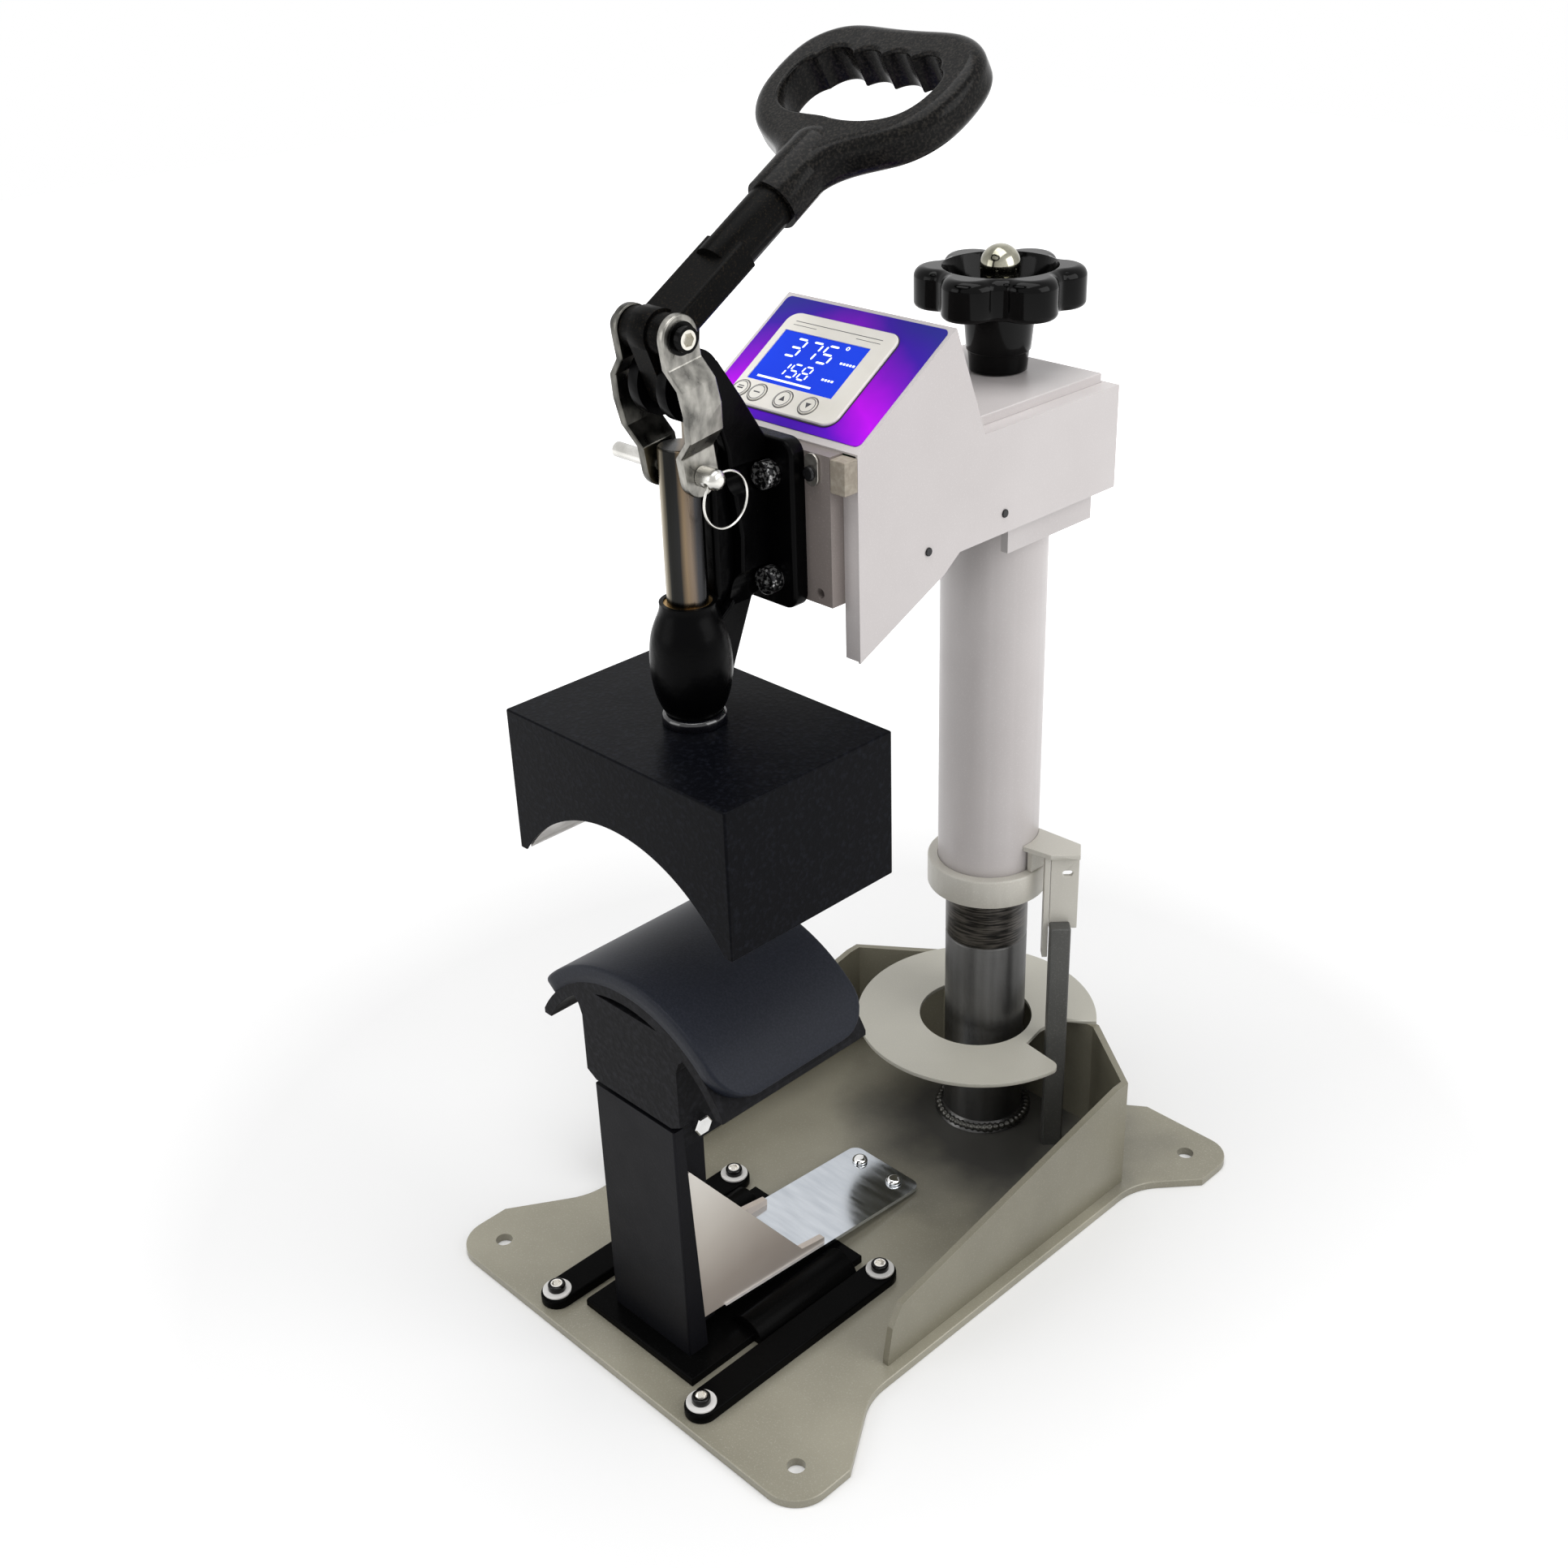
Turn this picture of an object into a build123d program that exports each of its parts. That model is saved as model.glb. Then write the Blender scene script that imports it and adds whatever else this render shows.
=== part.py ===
from build123d import *
import os
from math import atan2, cos, degrees, hypot, pi, radians, sin, sqrt

os.makedirs("parts", exist_ok=True)

# Swing-away heat press for caps, all sizes in millimetres.
# +Z is up, -Y is the operator's side, +X the operator's right.
# The origin is the centre of the four foot holes, on the underside of the base plate.

# ---------------------------------------------------------------- driving sizes
# base plate
foot_pitch_x = 315.0
foot_pitch_y = 436.0
foot_hole_r = 6.35
lobe_r = 28.0
base_half_width = 150.0
base_t = 6.35
base_rear_inset = 14.0

# upright post and the tube that swings on it
post_y = 156.0
tube_r = 38.1
tube_wall = 3.2
bush_t = 3.15
post_wall = 6.35
post_top = 540.0
tube_bottom = 228.0
collar_r = 46.0
collar_bottom = 225.0
collar_h = 23.0

# base walls, notched disc and stop bar
wall_x = 141.5
wall_t = 5.0
wall_top = 101.2
wall_front_h = 53.0
wall_toe_y = -112.0
wall_corner_y = 156.0
wall_rear_x = 80.0
wall_rear_y = 201.0
disc_r = 95.0
disc_t = 3.2
disc_hole_r = 44.5
disc_shift = 11.0
bar_reach = 70.0
bar_w = 15.5
bar_t = 12.0
bar_top = 210.4

# ram, heater and lower platen
reach = 287.0
ram_r = 12.7
ram_top = 644.5
ram_pin_z = 630.0
platen_arc_r = 115.0
platen_arc_z = 194.7
heater_arc_z = 301.0
heater_w = 203.2
heater_d = 140.0
platen_d = 130.0
platen_lead = 9.0
heater_top = 467.5
heater_h = 100.5
sheet_t = 1.2
pad_t = 12.0
pad_half_w = 97.0
pad_corner_r = 28.0

# stand under the lower platen
rail_x = 78.0
rail_w = 24.0
rail_t = 8.0
rail_front_y = -229.0
rail_pitch_y = 177.0
foot_half_w = 57.0
foot_front_y = -219.0
foot_rear_y = -49.0
foot_t = 6.35
column_half_w = 40.0
column_t = 8.0
column_top = 208.0
spine_half_w = 22.0
spine_d = 32.0
spine_top = 232.0
tongue_half_w = 35.0
tongue_t = 3.0
tongue_rear_y = 41.0
gusset_t = 5.0

# toggle bracket and linkage
flange_y = -67.0
flange_t = 10.5
flange_half_w = 38.0
flange_bottom = 533.0
flange_top = 640.0
flange_bolt_x = 20.0
flange_bolt_z = (551.0, 618.0)
locknut_r = 20.4
locknut_h = 7.2
barrel_top = 547.5
barrel_radii = (
    (0.0, 17.7), (0.11, 21.6), (0.28, 24.7), (0.54, 25.4),
    (0.73, 23.4), (0.84, 20.5), (0.94, 17.8), (1.0, 17.6),
)
pivot_z = 682.0
pivot_r = 6.35
ear_r = 21.0
ear_in = 8.0
ear_out = 16.0
crank_y = -13.0
crank_z = 31.0
lever_angle = 31.0
lever_half_w = 16.0
lever_t = 18.0
lever_flat_len = 58.0
lever_tube_r = 14.0
lever_len = 143.0
link_w = 26.0
link_t = 5.5
link_low_x = 14.0
link_high_x = 16.8
link_bow = 9.0
bolt_r = 6.0
quick_pin_r = 4.75
quick_pin_tail = 57.0
ring_r = 17.0
ring_wire_r = 0.8

# control housing
house_half_w = 71.0
house_t = 1.5
house_front_y = -56.0
house_skirt_z = 501.0
house_brow_z = 634.0
panel_rear_y = 31.0
panel_rear_z = 690.0
deck_front_y = 59.0
deck_z = 618.0
tail_gap = 0.4
house_belly_z = 547.0
belly_front_y = 36.0
arm_half_w = 55.0
arm_t = 6.0
arm_bottom = 521.5
front_plate_half_w = 59.0
front_plate_bottom = 538.0

# display and keys
bezel_w = 94.0
bezel_l = 76.0
bezel_x = -6.0
bezel_start = 12.0
bezel_t = 2.0
overlay_t = 0.6
glass_w = 73.0
glass_l = 42.0
glass_start = 31.0
glass_x = -10.5
key_r = 6.3
key_along = 22.0
key_places = (-45.0, -30.0, -7.5, 14.0)
key_travel = 0.8

# height screw and its knob
screw_r = 10.0
knob_r = 50.0
knob_lobe_r = 19.0
knob_lobes = 6
knob_bottom = 667.4
knob_h = 27.0
hub_bottom = 625.4
hub_low_r = 19.5
hub_high_r = 24.5

# clearances
run_gap = 0.05
free_gap = 0.3
fit_gap = 0.02

# ------------------------------------------------------------- derived places
post_r = tube_r - tube_wall - bush_t
ram_y = post_y - reach
crank_r = hypot(crank_y, crank_z)
wrist_y = ram_y + crank_y
wrist_z = pivot_z + crank_z
link_len = hypot(wrist_y - ram_y, wrist_z - ram_pin_z)
ram_stroke = crank_r + link_len - (pivot_z - ram_pin_z)
platen_front_y = ram_y - platen_d / 2 - platen_lead
platen_rear_y = platen_front_y + platen_d
barrel_bottom = heater_top + locknut_h + free_gap
barrel_h = barrel_top - barrel_bottom
house_rear_y = post_y + tube_r + house_t + tail_gap
seat_r = platen_arc_r - pad_t
panel_angle = degrees(atan2(panel_rear_z - house_brow_z, panel_rear_y - house_front_y))
panel_len = hypot(panel_rear_z - house_brow_z, panel_rear_y - house_front_y)
side_plane = Plane.YZ
panel_plane = Plane(
    origin=(0, house_front_y, house_brow_z),
    x_dir=(1, 0, 0),
    z_dir=(0, -sin(radians(panel_angle)), cos(radians(panel_angle))),
)
lever_plane = Plane(
    origin=(0, ram_y - 2, pivot_z + 34.3),
    x_dir=(0, cos(radians(lever_angle)), sin(radians(lever_angle))),
    z_dir=(1, 0, 0),
)
print("ram stroke", round(ram_stroke, 3), "crank radius", round(crank_r, 3))
print("lever turn", round(270 - degrees(atan2(crank_z, crank_y)), 3))
print("link tilt", round(degrees(atan2(-crank_y, wrist_z - ram_pin_z)), 3))


base_align = (Align.CENTER, Align.CENTER, Align.MIN)


def side_prism(points, x_low, x_high, corner=0.0, rim=0.0):
    """Solid between two X planes from a list of (y, z) corners, its rims rounded if asked."""
    with BuildPart(mode=Mode.PRIVATE) as prism:
        with BuildSketch(Plane.YZ.offset(x_low)) as outline:
            with BuildLine():
                Polyline(*points, close=True)
            make_face()
            if corner:
                fillet(outline.vertices(), corner)
        extrude(amount=x_high - x_low)
        if rim:
            fillet(prism.faces().filter_by(Axis.X).edges(), rim)
    return prism.part


def upright(x, y, z_low, z_high, radius):
    """Vertical cylinder between two heights."""
    return Pos(x, y, z_low) * Cylinder(
        radius, z_high - z_low, align=base_align, mode=Mode.PRIVATE
    )


def across(y, z, x_low, x_high, radius):
    """Cylinder along X between two places."""
    return Pos(x_low, y, z) * Rot(0, 90, 0) * Cylinder(
        radius, x_high - x_low, align=base_align, mode=Mode.PRIVATE
    )


def forward(x, z, y_low, y_high, radius):
    """Cylinder along Y between two places."""
    return Pos(x, y_low, z) * Rot(-90, 0, 0) * Cylinder(
        radius, y_high - y_low, align=base_align, mode=Mode.PRIVATE
    )


def block(x_low, x_high, y_low, y_high, z_low, z_high):
    """Box between two corners."""
    return Pos(x_low, y_low, z_low) * Box(
        x_high - x_low, y_high - y_low, z_high - z_low, align=Align.MIN, mode=Mode.PRIVATE
    )


# ------------------------------------------------------------------ base plate
foot_half_x = foot_pitch_x / 2
foot_half_y = foot_pitch_y / 2
base_x = foot_half_x + lobe_r
base_y = foot_half_y + lobe_r
rail_bolt_r = 4.0
tongue_bolt_x = 18.0
tongue_bolt_y = tongue_rear_y - 13.0
tongue_bolt_r = 3.0

with BuildPart() as base_plate:
    with BuildSketch() as base_outline:
        with BuildLine():
            Polyline(
                (-base_x, -base_y),
                (base_x, -base_y),
                (base_x, -base_y + 50),
                (base_half_width, -base_y + 106),
                (base_half_width, base_y - 85),
                (base_x, base_y - 45),
                (base_x, base_y),
                (base_x - 85, base_y),
                (base_x - 105, base_y - base_rear_inset),
                (-base_x + 105, base_y - base_rear_inset),
                (-base_x + 85, base_y),
                (-base_x, base_y),
                (-base_x, base_y - 45),
                (-base_half_width, base_y - 85),
                (-base_half_width, -base_y + 106),
                (-base_x, -base_y + 50),
                close=True,
            )
        make_face()
        fillet(base_outline.vertices().filter_by_position(Axis.X, base_half_width - 1, base_half_width + 1), 50)
        fillet(base_outline.vertices().filter_by_position(Axis.X, -base_half_width - 1, 1 - base_half_width), 50)
        fillet(base_outline.vertices().group_by(Axis.Y)[0], lobe_r - 2)
        fillet(base_outline.vertices().group_by(Axis.Y)[-1].group_by(Axis.X)[0], lobe_r - 6)
        fillet(base_outline.vertices().group_by(Axis.Y)[-1].group_by(Axis.X)[-1], lobe_r - 6)
    extrude(amount=base_t)
    chamfer(base_plate.edges().group_by(Axis.Z)[-1], 0.6)
    with GridLocations(foot_pitch_x, foot_pitch_y, 2, 2):
        Hole(foot_hole_r)
    with Locations((0, rail_front_y + rail_pitch_y / 2, base_t)):
        with GridLocations(2 * rail_x, rail_pitch_y, 2, 2):
            Hole(rail_bolt_r + fit_gap)
    with Locations((0, tongue_bolt_y, base_t)):
        with GridLocations(2 * tongue_bolt_x, 1, 2, 1):
            Hole(tongue_bolt_r + fit_gap)

base_plate.part.label = "base_plate"
export_step(base_plate.part, "parts/base_plate.step")

def wall_run(skin):
    """Plan of the wall's outer face, or of its inner face when given the wall thickness."""
    turn = skin * 0.42
    front_y = wall_toe_y - (1 if skin else 0)
    right = [
        (wall_x - skin, front_y),
        (wall_x - skin, wall_corner_y - turn),
        (wall_rear_x - turn, wall_rear_y - skin),
    ]
    return right + [(-x, y) for x, y in reversed(right)]


# Walls welded on the base: two low cheeks that rise to the rear, turn in and meet behind the post.
with BuildPart() as base_walls:
    with BuildSketch(Plane.XY.offset(base_t)):
        with BuildLine():
            Polyline(*wall_run(0), close=True)
        make_face()
        with BuildLine():
            Polyline(*wall_run(wall_t), close=True)
        make_face(mode=Mode.SUBTRACT)
    extrude(amount=wall_top - base_t)
    add(
        side_prism(
            [
                (wall_toe_y - 1, wall_front_h),
                (wall_toe_y + 15, wall_front_h),
                (wall_corner_y - 12, wall_top),
                (wall_corner_y - 12, wall_top + 1),
                (wall_toe_y - 1, wall_top + 1),
            ],
            -wall_x - 1,
            wall_x + 1,
        ),
        mode=Mode.SUBTRACT,
    )
    add(
        side_prism(
            [
                (wall_toe_y - 1, base_t + 4),
                (wall_toe_y, base_t + 4),
                (wall_toe_y + 5, wall_front_h - 16),
                (wall_toe_y + 15, wall_front_h + 0.1),
                (wall_toe_y - 1, wall_front_h + 0.1),
            ],
            -wall_x - 1,
            wall_x + 1,
        ),
        mode=Mode.SUBTRACT,
    )

base_walls.part.label = "base_walls"
export_step(base_walls.part, "parts/base_walls.step")

# Notched disc that ties the walls and rings the post; the stop bar stands in its notch.
with BuildPart() as swing_disc:
    with BuildSketch(Plane.XY.offset(wall_top)) as disc_outline:
        with Locations((0, post_y - disc_shift + 1)):
            Circle(disc_r)
        with Locations((0, post_y - disc_shift)):
            Circle(disc_hole_r, mode=Mode.SUBTRACT)
        with BuildLine():
            Polyline(
                (56, post_y - 16),
                (disc_r + 20, post_y - 24),
                (disc_r + 20, post_y + 68),
                (54, post_y + 28),
                (52, post_y + 6),
                close=True,
            )
        make_face(mode=Mode.SUBTRACT)
        fillet(disc_outline.vertices().group_by(Axis.X)[-1], 8)
    extrude(amount=disc_t)

swing_disc.part.label = "swing_disc"
export_step(swing_disc.part, "parts/swing_disc.step")

with BuildPart() as stop_bar:
    with BuildSketch(Plane(origin=(bar_reach, post_y + 2, base_t), x_dir=(1, 1, 0), z_dir=(0, 0, 1))):
        RectangleRounded(bar_w, bar_t, 1.5)
    extrude(amount=bar_top - base_t)
    chamfer(stop_bar.edges().group_by(Axis.Z)[-1], 0.8)

stop_bar.part.label = "stop_bar"
export_step(stop_bar.part, "parts/stop_bar.step")

# Post: thick-walled tube, bare ground band under the collar, weld bead at its foot.
band_z = 179.0
bead = 7.0
with BuildPart() as post_tube:
    with BuildSketch(Plane.XZ.offset(-post_y)):
        with BuildLine():
            Polyline(
                (post_r - post_wall, base_t),
                (post_r + bead, base_t),
                (post_r, base_t + bead),
                (post_r, band_z - 1.2),
                (post_r - 0.5, band_z - 0.7),
                (post_r - 0.5, band_z + 0.7),
                (post_r, band_z + 1.2),
                (post_r, post_top - 1),
                (post_r - 1, post_top),
                (post_r - post_wall, post_top),
                close=True,
            )
        make_face()
    revolve(axis=Axis((0, post_y, 0), (0, 0, 1)))

post_tube.part.label = "post_tube"
export_step(post_tube.part, "parts/post_tube.step")

nut_flange_t = 8.0
nut_depth = 45.0
with BuildPart() as lift_nut:
    add(upright(0, post_y, post_top, post_top + nut_flange_t, post_r - 2))
    add(upright(0, post_y, post_top - nut_depth, post_top, post_r - post_wall - fit_gap))
    add(
        upright(0, post_y, post_top - nut_depth, post_top + nut_flange_t, screw_r + run_gap),
        mode=Mode.SUBTRACT,
    )

lift_nut.part.label = "lift_nut"
export_step(lift_nut.part, "parts/lift_nut.step")

# --------------------------------------------------------------- stand, bolted
rail_mid_y = rail_front_y + rail_pitch_y / 2
rail_top = base_t + rail_t
with BuildPart() as slide_rails:
    with BuildSketch(Plane.XY.offset(base_t)):
        with Locations((-rail_x, rail_mid_y), (rail_x, rail_mid_y)):
            SlotCenterToCenter(rail_pitch_y, rail_w, rotation=90)
    extrude(amount=rail_t)
    chamfer(slide_rails.edges().group_by(Axis.Z)[-1], 1.0)
    with Locations((0, rail_mid_y, rail_top)):
        with GridLocations(2 * rail_x, rail_pitch_y, 2, 2):
            Hole(rail_bolt_r + fit_gap)

slide_rails.part.label = "slide_rails"
export_step(slide_rails.part, "parts/slide_rails.step")

washer_r = 10.5
washer_t = 1.8
with BuildPart() as rail_washers:
    with Locations((0, rail_mid_y, rail_top)):
        with GridLocations(2 * rail_x, rail_pitch_y, 2, 2):
            Cylinder(washer_r, washer_t, align=base_align)
            Hole(rail_bolt_r + fit_gap)

rail_washers.part.label = "rail_washers"
export_step(rail_washers.part, "parts/rail_washers.step")

rail_head_r = 6.5
rail_head_h = 5.0
with BuildPart() as rail_bolts:
    with Locations((0, rail_mid_y, rail_top + washer_t)):
        with GridLocations(2 * rail_x, rail_pitch_y, 2, 2):
            Cylinder(rail_head_r, rail_head_h, align=base_align)
            with Locations((0, 0, -rail_t - washer_t - base_t + 1)):
                Cylinder(
                    rail_bolt_r,
                    rail_t + washer_t + base_t - 1,
                    align=base_align,
                )
    fillet(rail_bolts.edges().group_by(Axis.Z)[-1], 1.6)
    with BuildSketch(Plane.XY.offset(rail_top + washer_t + rail_head_h)):
        with Locations((0, rail_mid_y)):
            with GridLocations(2 * rail_x, rail_pitch_y, 2, 2):
                RegularPolygon(3.2, 6, major_radius=False)
    extrude(amount=-3, mode=Mode.SUBTRACT)

rail_bolts.part.label = "rail_bolts"
export_step(rail_bolts.part, "parts/rail_bolts.step")

# Foot of the stand: a plate between the rails with a half-round rib along each edge.
foot_top = base_t + foot_t
rib_r = 16.0
rib_x = rail_x - rail_w / 2 - rib_r - free_gap
rib_front_y = -160.0
with BuildPart() as stand_foot:
    add(block(-foot_half_w, foot_half_w, foot_front_y, foot_rear_y, base_t, foot_top))
    chamfer(stand_foot.faces().sort_by(Axis.Y)[0].edges().group_by(Axis.Z)[-1], 1.0)
    for side in (-1, 1):
        with BuildSketch(Plane.XZ.offset(-rib_front_y)):
            with Locations((side * rib_x, base_t)):
                Circle(rib_r)
                Rectangle(2 * rib_r, rib_r, align=(Align.CENTER, Align.MIN), mode=Mode.INTERSECT)
        extrude(amount=-(foot_rear_y - 14 - rib_front_y))

stand_foot.part.label = "stand_foot"
export_step(stand_foot.part, "parts/stand_foot.step")

# Column: a flat front with shallow returns that deepen to the foot, and a spine that enters the platen.
spine_front_y = platen_front_y + column_t
with BuildPart() as stand_column:
    add(
        block(
            -column_half_w, column_half_w,
            platen_front_y, spine_front_y,
            foot_top, column_top,
        )
    )
    for x_low in (-column_half_w, column_half_w - 5):
        add(
            side_prism(
                [
                    (platen_front_y, foot_top),
                    (platen_front_y, column_top),
                    (spine_front_y, column_top),
                    (spine_front_y + 9, foot_top),
                ],
                x_low,
                x_low + 5,
            )
        )
    add(
        block(
            -spine_half_w, spine_half_w,
            spine_front_y, spine_front_y + spine_d,
            foot_top, spine_top,
        )
    )
    fillet(stand_column.faces().sort_by(Axis.Y)[0].edges().filter_by(Axis.Z), 1.5)

stand_column.part.label = "stand_column"
export_step(stand_column.part, "parts/stand_column.step")

# Polished tongue: rises gently to the front over the foot, its rear end screwed to the base.
tongue_front_y = spine_front_y + spine_d
tongue_front_z = foot_top + 13.0
tongue_rear_z = base_t + 2.5
gusset_x = 28.0


def tongue_under(y):
    """Height of the tongue's underside at a place along Y."""
    share = (y - tongue_front_y) / (tongue_rear_y - tongue_front_y)
    return tongue_front_z + (tongue_rear_z - tongue_front_z) * share


tongue_slope = atan2(tongue_rear_z - tongue_front_z, tongue_rear_y - tongue_front_y)
with BuildPart() as stand_tongue:
    add(
        side_prism(
            [
                (tongue_front_y + free_gap, tongue_under(tongue_front_y + free_gap)),
                (tongue_rear_y, tongue_rear_z),
                (tongue_rear_y, tongue_rear_z + tongue_t),
                (tongue_front_y + free_gap, tongue_under(tongue_front_y + free_gap) + tongue_t),
            ],
            -tongue_half_w,
            tongue_half_w,
        )
    )
    fillet(stand_tongue.edges().filter_by(Axis.Z).group_by(Axis.Y)[-1], 8)
    with Locations((0, tongue_bolt_y, tongue_rear_z + 10)):
        with GridLocations(2 * tongue_bolt_x, 1, 2, 1):
            Hole(tongue_bolt_r + fit_gap)

stand_tongue.part.label = "stand_tongue"
export_step(stand_tongue.part, "parts/stand_tongue.step")

# Two polished gussets that brace the column on the tongue.
gusset_top = 162.0
gusset_tail_y = -64.0
gusset_knee_y = -87.0
gusset_skin = fit_gap
with BuildPart() as stand_gussets:
    for x_low in (-gusset_x - gusset_t, gusset_x):
        add(
            side_prism(
                [
                    (spine_front_y, foot_top + 18),
                    (spine_front_y, gusset_top),
                    (spine_front_y + 9, gusset_top),
                    (gusset_knee_y, tongue_under(gusset_knee_y) + tongue_t + 7),
                    (gusset_tail_y, tongue_under(gusset_tail_y) + tongue_t + 5),
                    (gusset_tail_y, tongue_under(gusset_tail_y) + tongue_t + gusset_skin),
                    (tongue_front_y, tongue_under(tongue_front_y) + tongue_t + gusset_skin),
                ],
                x_low,
                x_low + gusset_t,
            )
        )

stand_gussets.part.label = "stand_gussets"
export_step(stand_gussets.part, "parts/stand_gussets.step")

tongue_bolt_z = tongue_under(tongue_bolt_y) + tongue_t
with BuildPart() as tongue_screws:
    for x in (-tongue_bolt_x, tongue_bolt_x):
        add(upright(x, tongue_bolt_y, 1.0, tongue_bolt_z + 1, tongue_bolt_r))
        add(upright(x, tongue_bolt_y, tongue_bolt_z + 0.5, tongue_bolt_z + 4.2, 6.0))
    fillet(tongue_screws.edges().group_by(Axis.Z)[-1], 3.0)

tongue_screws.part.label = "tongue_screws"
export_step(tongue_screws.part, "parts/tongue_screws.step")

# ---------------------------------------------------------------- lower platen
platen_shell_t = 8.0
platen_span = 60.0
web_half_w = 47.0
web_t = 8.0
web_bottom = column_top + 3.5
hub_half_w = 34.5
hub_rear_y = spine_front_y + spine_d + 8
hub_bottom_z = 186.0


def arc_shell(radius_out, radius_in, centre_z, y_low, y_high, half_span):
    """Half-pipe of a given span, its crown up, between two Y planes."""
    with BuildPart(mode=Mode.PRIVATE) as shell:
        with BuildSketch(Plane.XZ.offset(-y_low)):
            with Locations((0, centre_z)):
                Circle(radius_out)
                Circle(radius_in, mode=Mode.SUBTRACT)
            with Locations((0, centre_z + radius_in * cos(radians(half_span)))):
                Rectangle(
                    2 * radius_out * sin(radians(half_span)),
                    2 * radius_out,
                    align=(Align.CENTER, Align.MIN),
                    mode=Mode.INTERSECT,
                )
        extrude(amount=-(y_high - y_low))
    return shell.part


web_right = [
    (web_half_w - 9, web_bottom),
    (web_half_w, web_bottom + 5),
    (web_half_w, platen_arc_z + 66),
    (web_half_w + 3, platen_arc_z + 74),
    (web_half_w + 9, platen_arc_z + 80),
    (web_half_w + 9, platen_arc_z + 90),
]
with BuildPart() as lower_platen:
    add(
        arc_shell(
            seat_r, seat_r - platen_shell_t, platen_arc_z,
            platen_front_y, platen_rear_y, platen_span,
        )
    )
    with BuildSketch(Plane.XZ.offset(-platen_front_y)) as web_outline:
        with BuildLine():
            Polyline(*web_right, *[(-x, z) for x, z in reversed(web_right)], close=True)
        make_face()
        with Locations((0, platen_arc_z)):
            Circle(seat_r - 1, mode=Mode.INTERSECT)
    extrude(amount=-web_t)
    with BuildSketch(Plane.XY.offset(hub_bottom_z)):
        with Locations((0, spine_front_y + free_gap)):
            Rectangle(
                2 * hub_half_w,
                hub_rear_y - spine_front_y - free_gap,
                align=(Align.CENTER, Align.MIN),
            )
    extrude(amount=platen_arc_z + 90 - hub_bottom_z)
    with BuildSketch(Plane.XZ.offset(-hub_rear_y)):
        with BuildLine():
            Polyline(
                (-web_half_w, platen_arc_z + 60),
                (web_half_w, platen_arc_z + 60),
                (web_half_w, platen_arc_z + 85),
                (-web_half_w, platen_arc_z + 85),
                close=True,
            )
        make_face()
    extrude(amount=-(platen_rear_y - hub_rear_y - 12))
    add(
        block(
            -spine_half_w - fit_gap, spine_half_w + fit_gap,
            spine_front_y - 1, spine_front_y + spine_d + fit_gap,
            hub_bottom_z - 1, spine_top + fit_gap,
        ),
        mode=Mode.SUBTRACT,
    )
    add(
        block(
            -column_half_w - 1, column_half_w + 1,
            platen_front_y - 1, spine_front_y + free_gap,
            hub_bottom_z - 1, web_bottom - 0.01,
        ),
        mode=Mode.SUBTRACT,
    )
    add(across(platen_front_y + 26, 200, spine_half_w, hub_half_w + 1, 4 + fit_gap), mode=Mode.SUBTRACT)

lower_platen.part.label = "lower_platen"
export_step(lower_platen.part, "parts/lower_platen.step")

with BuildPart() as platen_screw:
    add(across(platen_front_y + 26, 200, spine_half_w + fit_gap, hub_half_w + 1, 4))
    with BuildSketch(Plane.YZ.offset(hub_half_w)):
        with Locations((platen_front_y + 26, 200)):
            RegularPolygon(6.5, 6, major_radius=False)
    extrude(amount=6)
    chamfer(platen_screw.edges().group_by(Axis.X)[-1], 0.8)

platen_screw.part.label = "platen_screw"
export_step(platen_screw.part, "parts/platen_screw.step")

with BuildPart() as silicone_pad:
    add(
        arc_shell(
            platen_arc_r, seat_r, platen_arc_z,
            platen_front_y, platen_rear_y, platen_span,
        )
    )
    with BuildSketch(Plane.XY.offset(platen_arc_z)):
        with Locations((0, (platen_front_y + platen_rear_y) / 2)):
            RectangleRounded(2 * pad_half_w, platen_d, pad_corner_r)
    extrude(amount=platen_arc_r + 1, mode=Mode.INTERSECT)

silicone_pad.part.label = "silicone_pad"
export_step(silicone_pad.part, "parts/silicone_pad.step")

# ------------------------------------------------------------ swinging column
arm_top_t = 12.0
arm_top_z = deck_z + 6.4
arm_top_half_w = 58.5
upper_bush_drop = 55.0
with BuildPart() as outer_tube:
    add(upright(0, post_y, tube_bottom, arm_top_z - arm_top_t, tube_r))
    add(
        upright(0, post_y, tube_bottom - 1, arm_top_z - arm_top_t + 1, tube_r - tube_wall),
        mode=Mode.SUBTRACT,
    )

outer_tube.part.label = "outer_tube"
export_step(outer_tube.part, "parts/outer_tube.step")

tube_bush_h = 30.0
with BuildPart() as tube_bushes:
    for z_low in (tube_bottom + 2, post_top - tube_bush_h - upper_bush_drop):
        add(upright(0, post_y, z_low, z_low + tube_bush_h, tube_r - tube_wall - fit_gap))
    add(upright(0, post_y, tube_bottom, post_top, post_r + run_gap), mode=Mode.SUBTRACT)

tube_bushes.part.label = "tube_bushes"
export_step(tube_bushes.part, "parts/tube_bushes.step")

collar_top = collar_bottom + collar_h
with BuildPart() as tube_collar:
    add(upright(0, post_y, collar_bottom, collar_top, collar_r))
    add(upright(0, post_y, tube_bottom, collar_top + 1, tube_r + fit_gap), mode=Mode.SUBTRACT)
    add(upright(0, post_y, collar_bottom - 1, tube_bottom, post_r + free_gap), mode=Mode.SUBTRACT)
    chamfer(tube_collar.edges().filter_by(GeomType.CIRCLE).group_by(Axis.Z)[-1].sort_by(SortBy.RADIUS)[-1], 1)

tube_collar.part.label = "tube_collar"
export_step(tube_collar.part, "parts/tube_collar.step")

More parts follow.
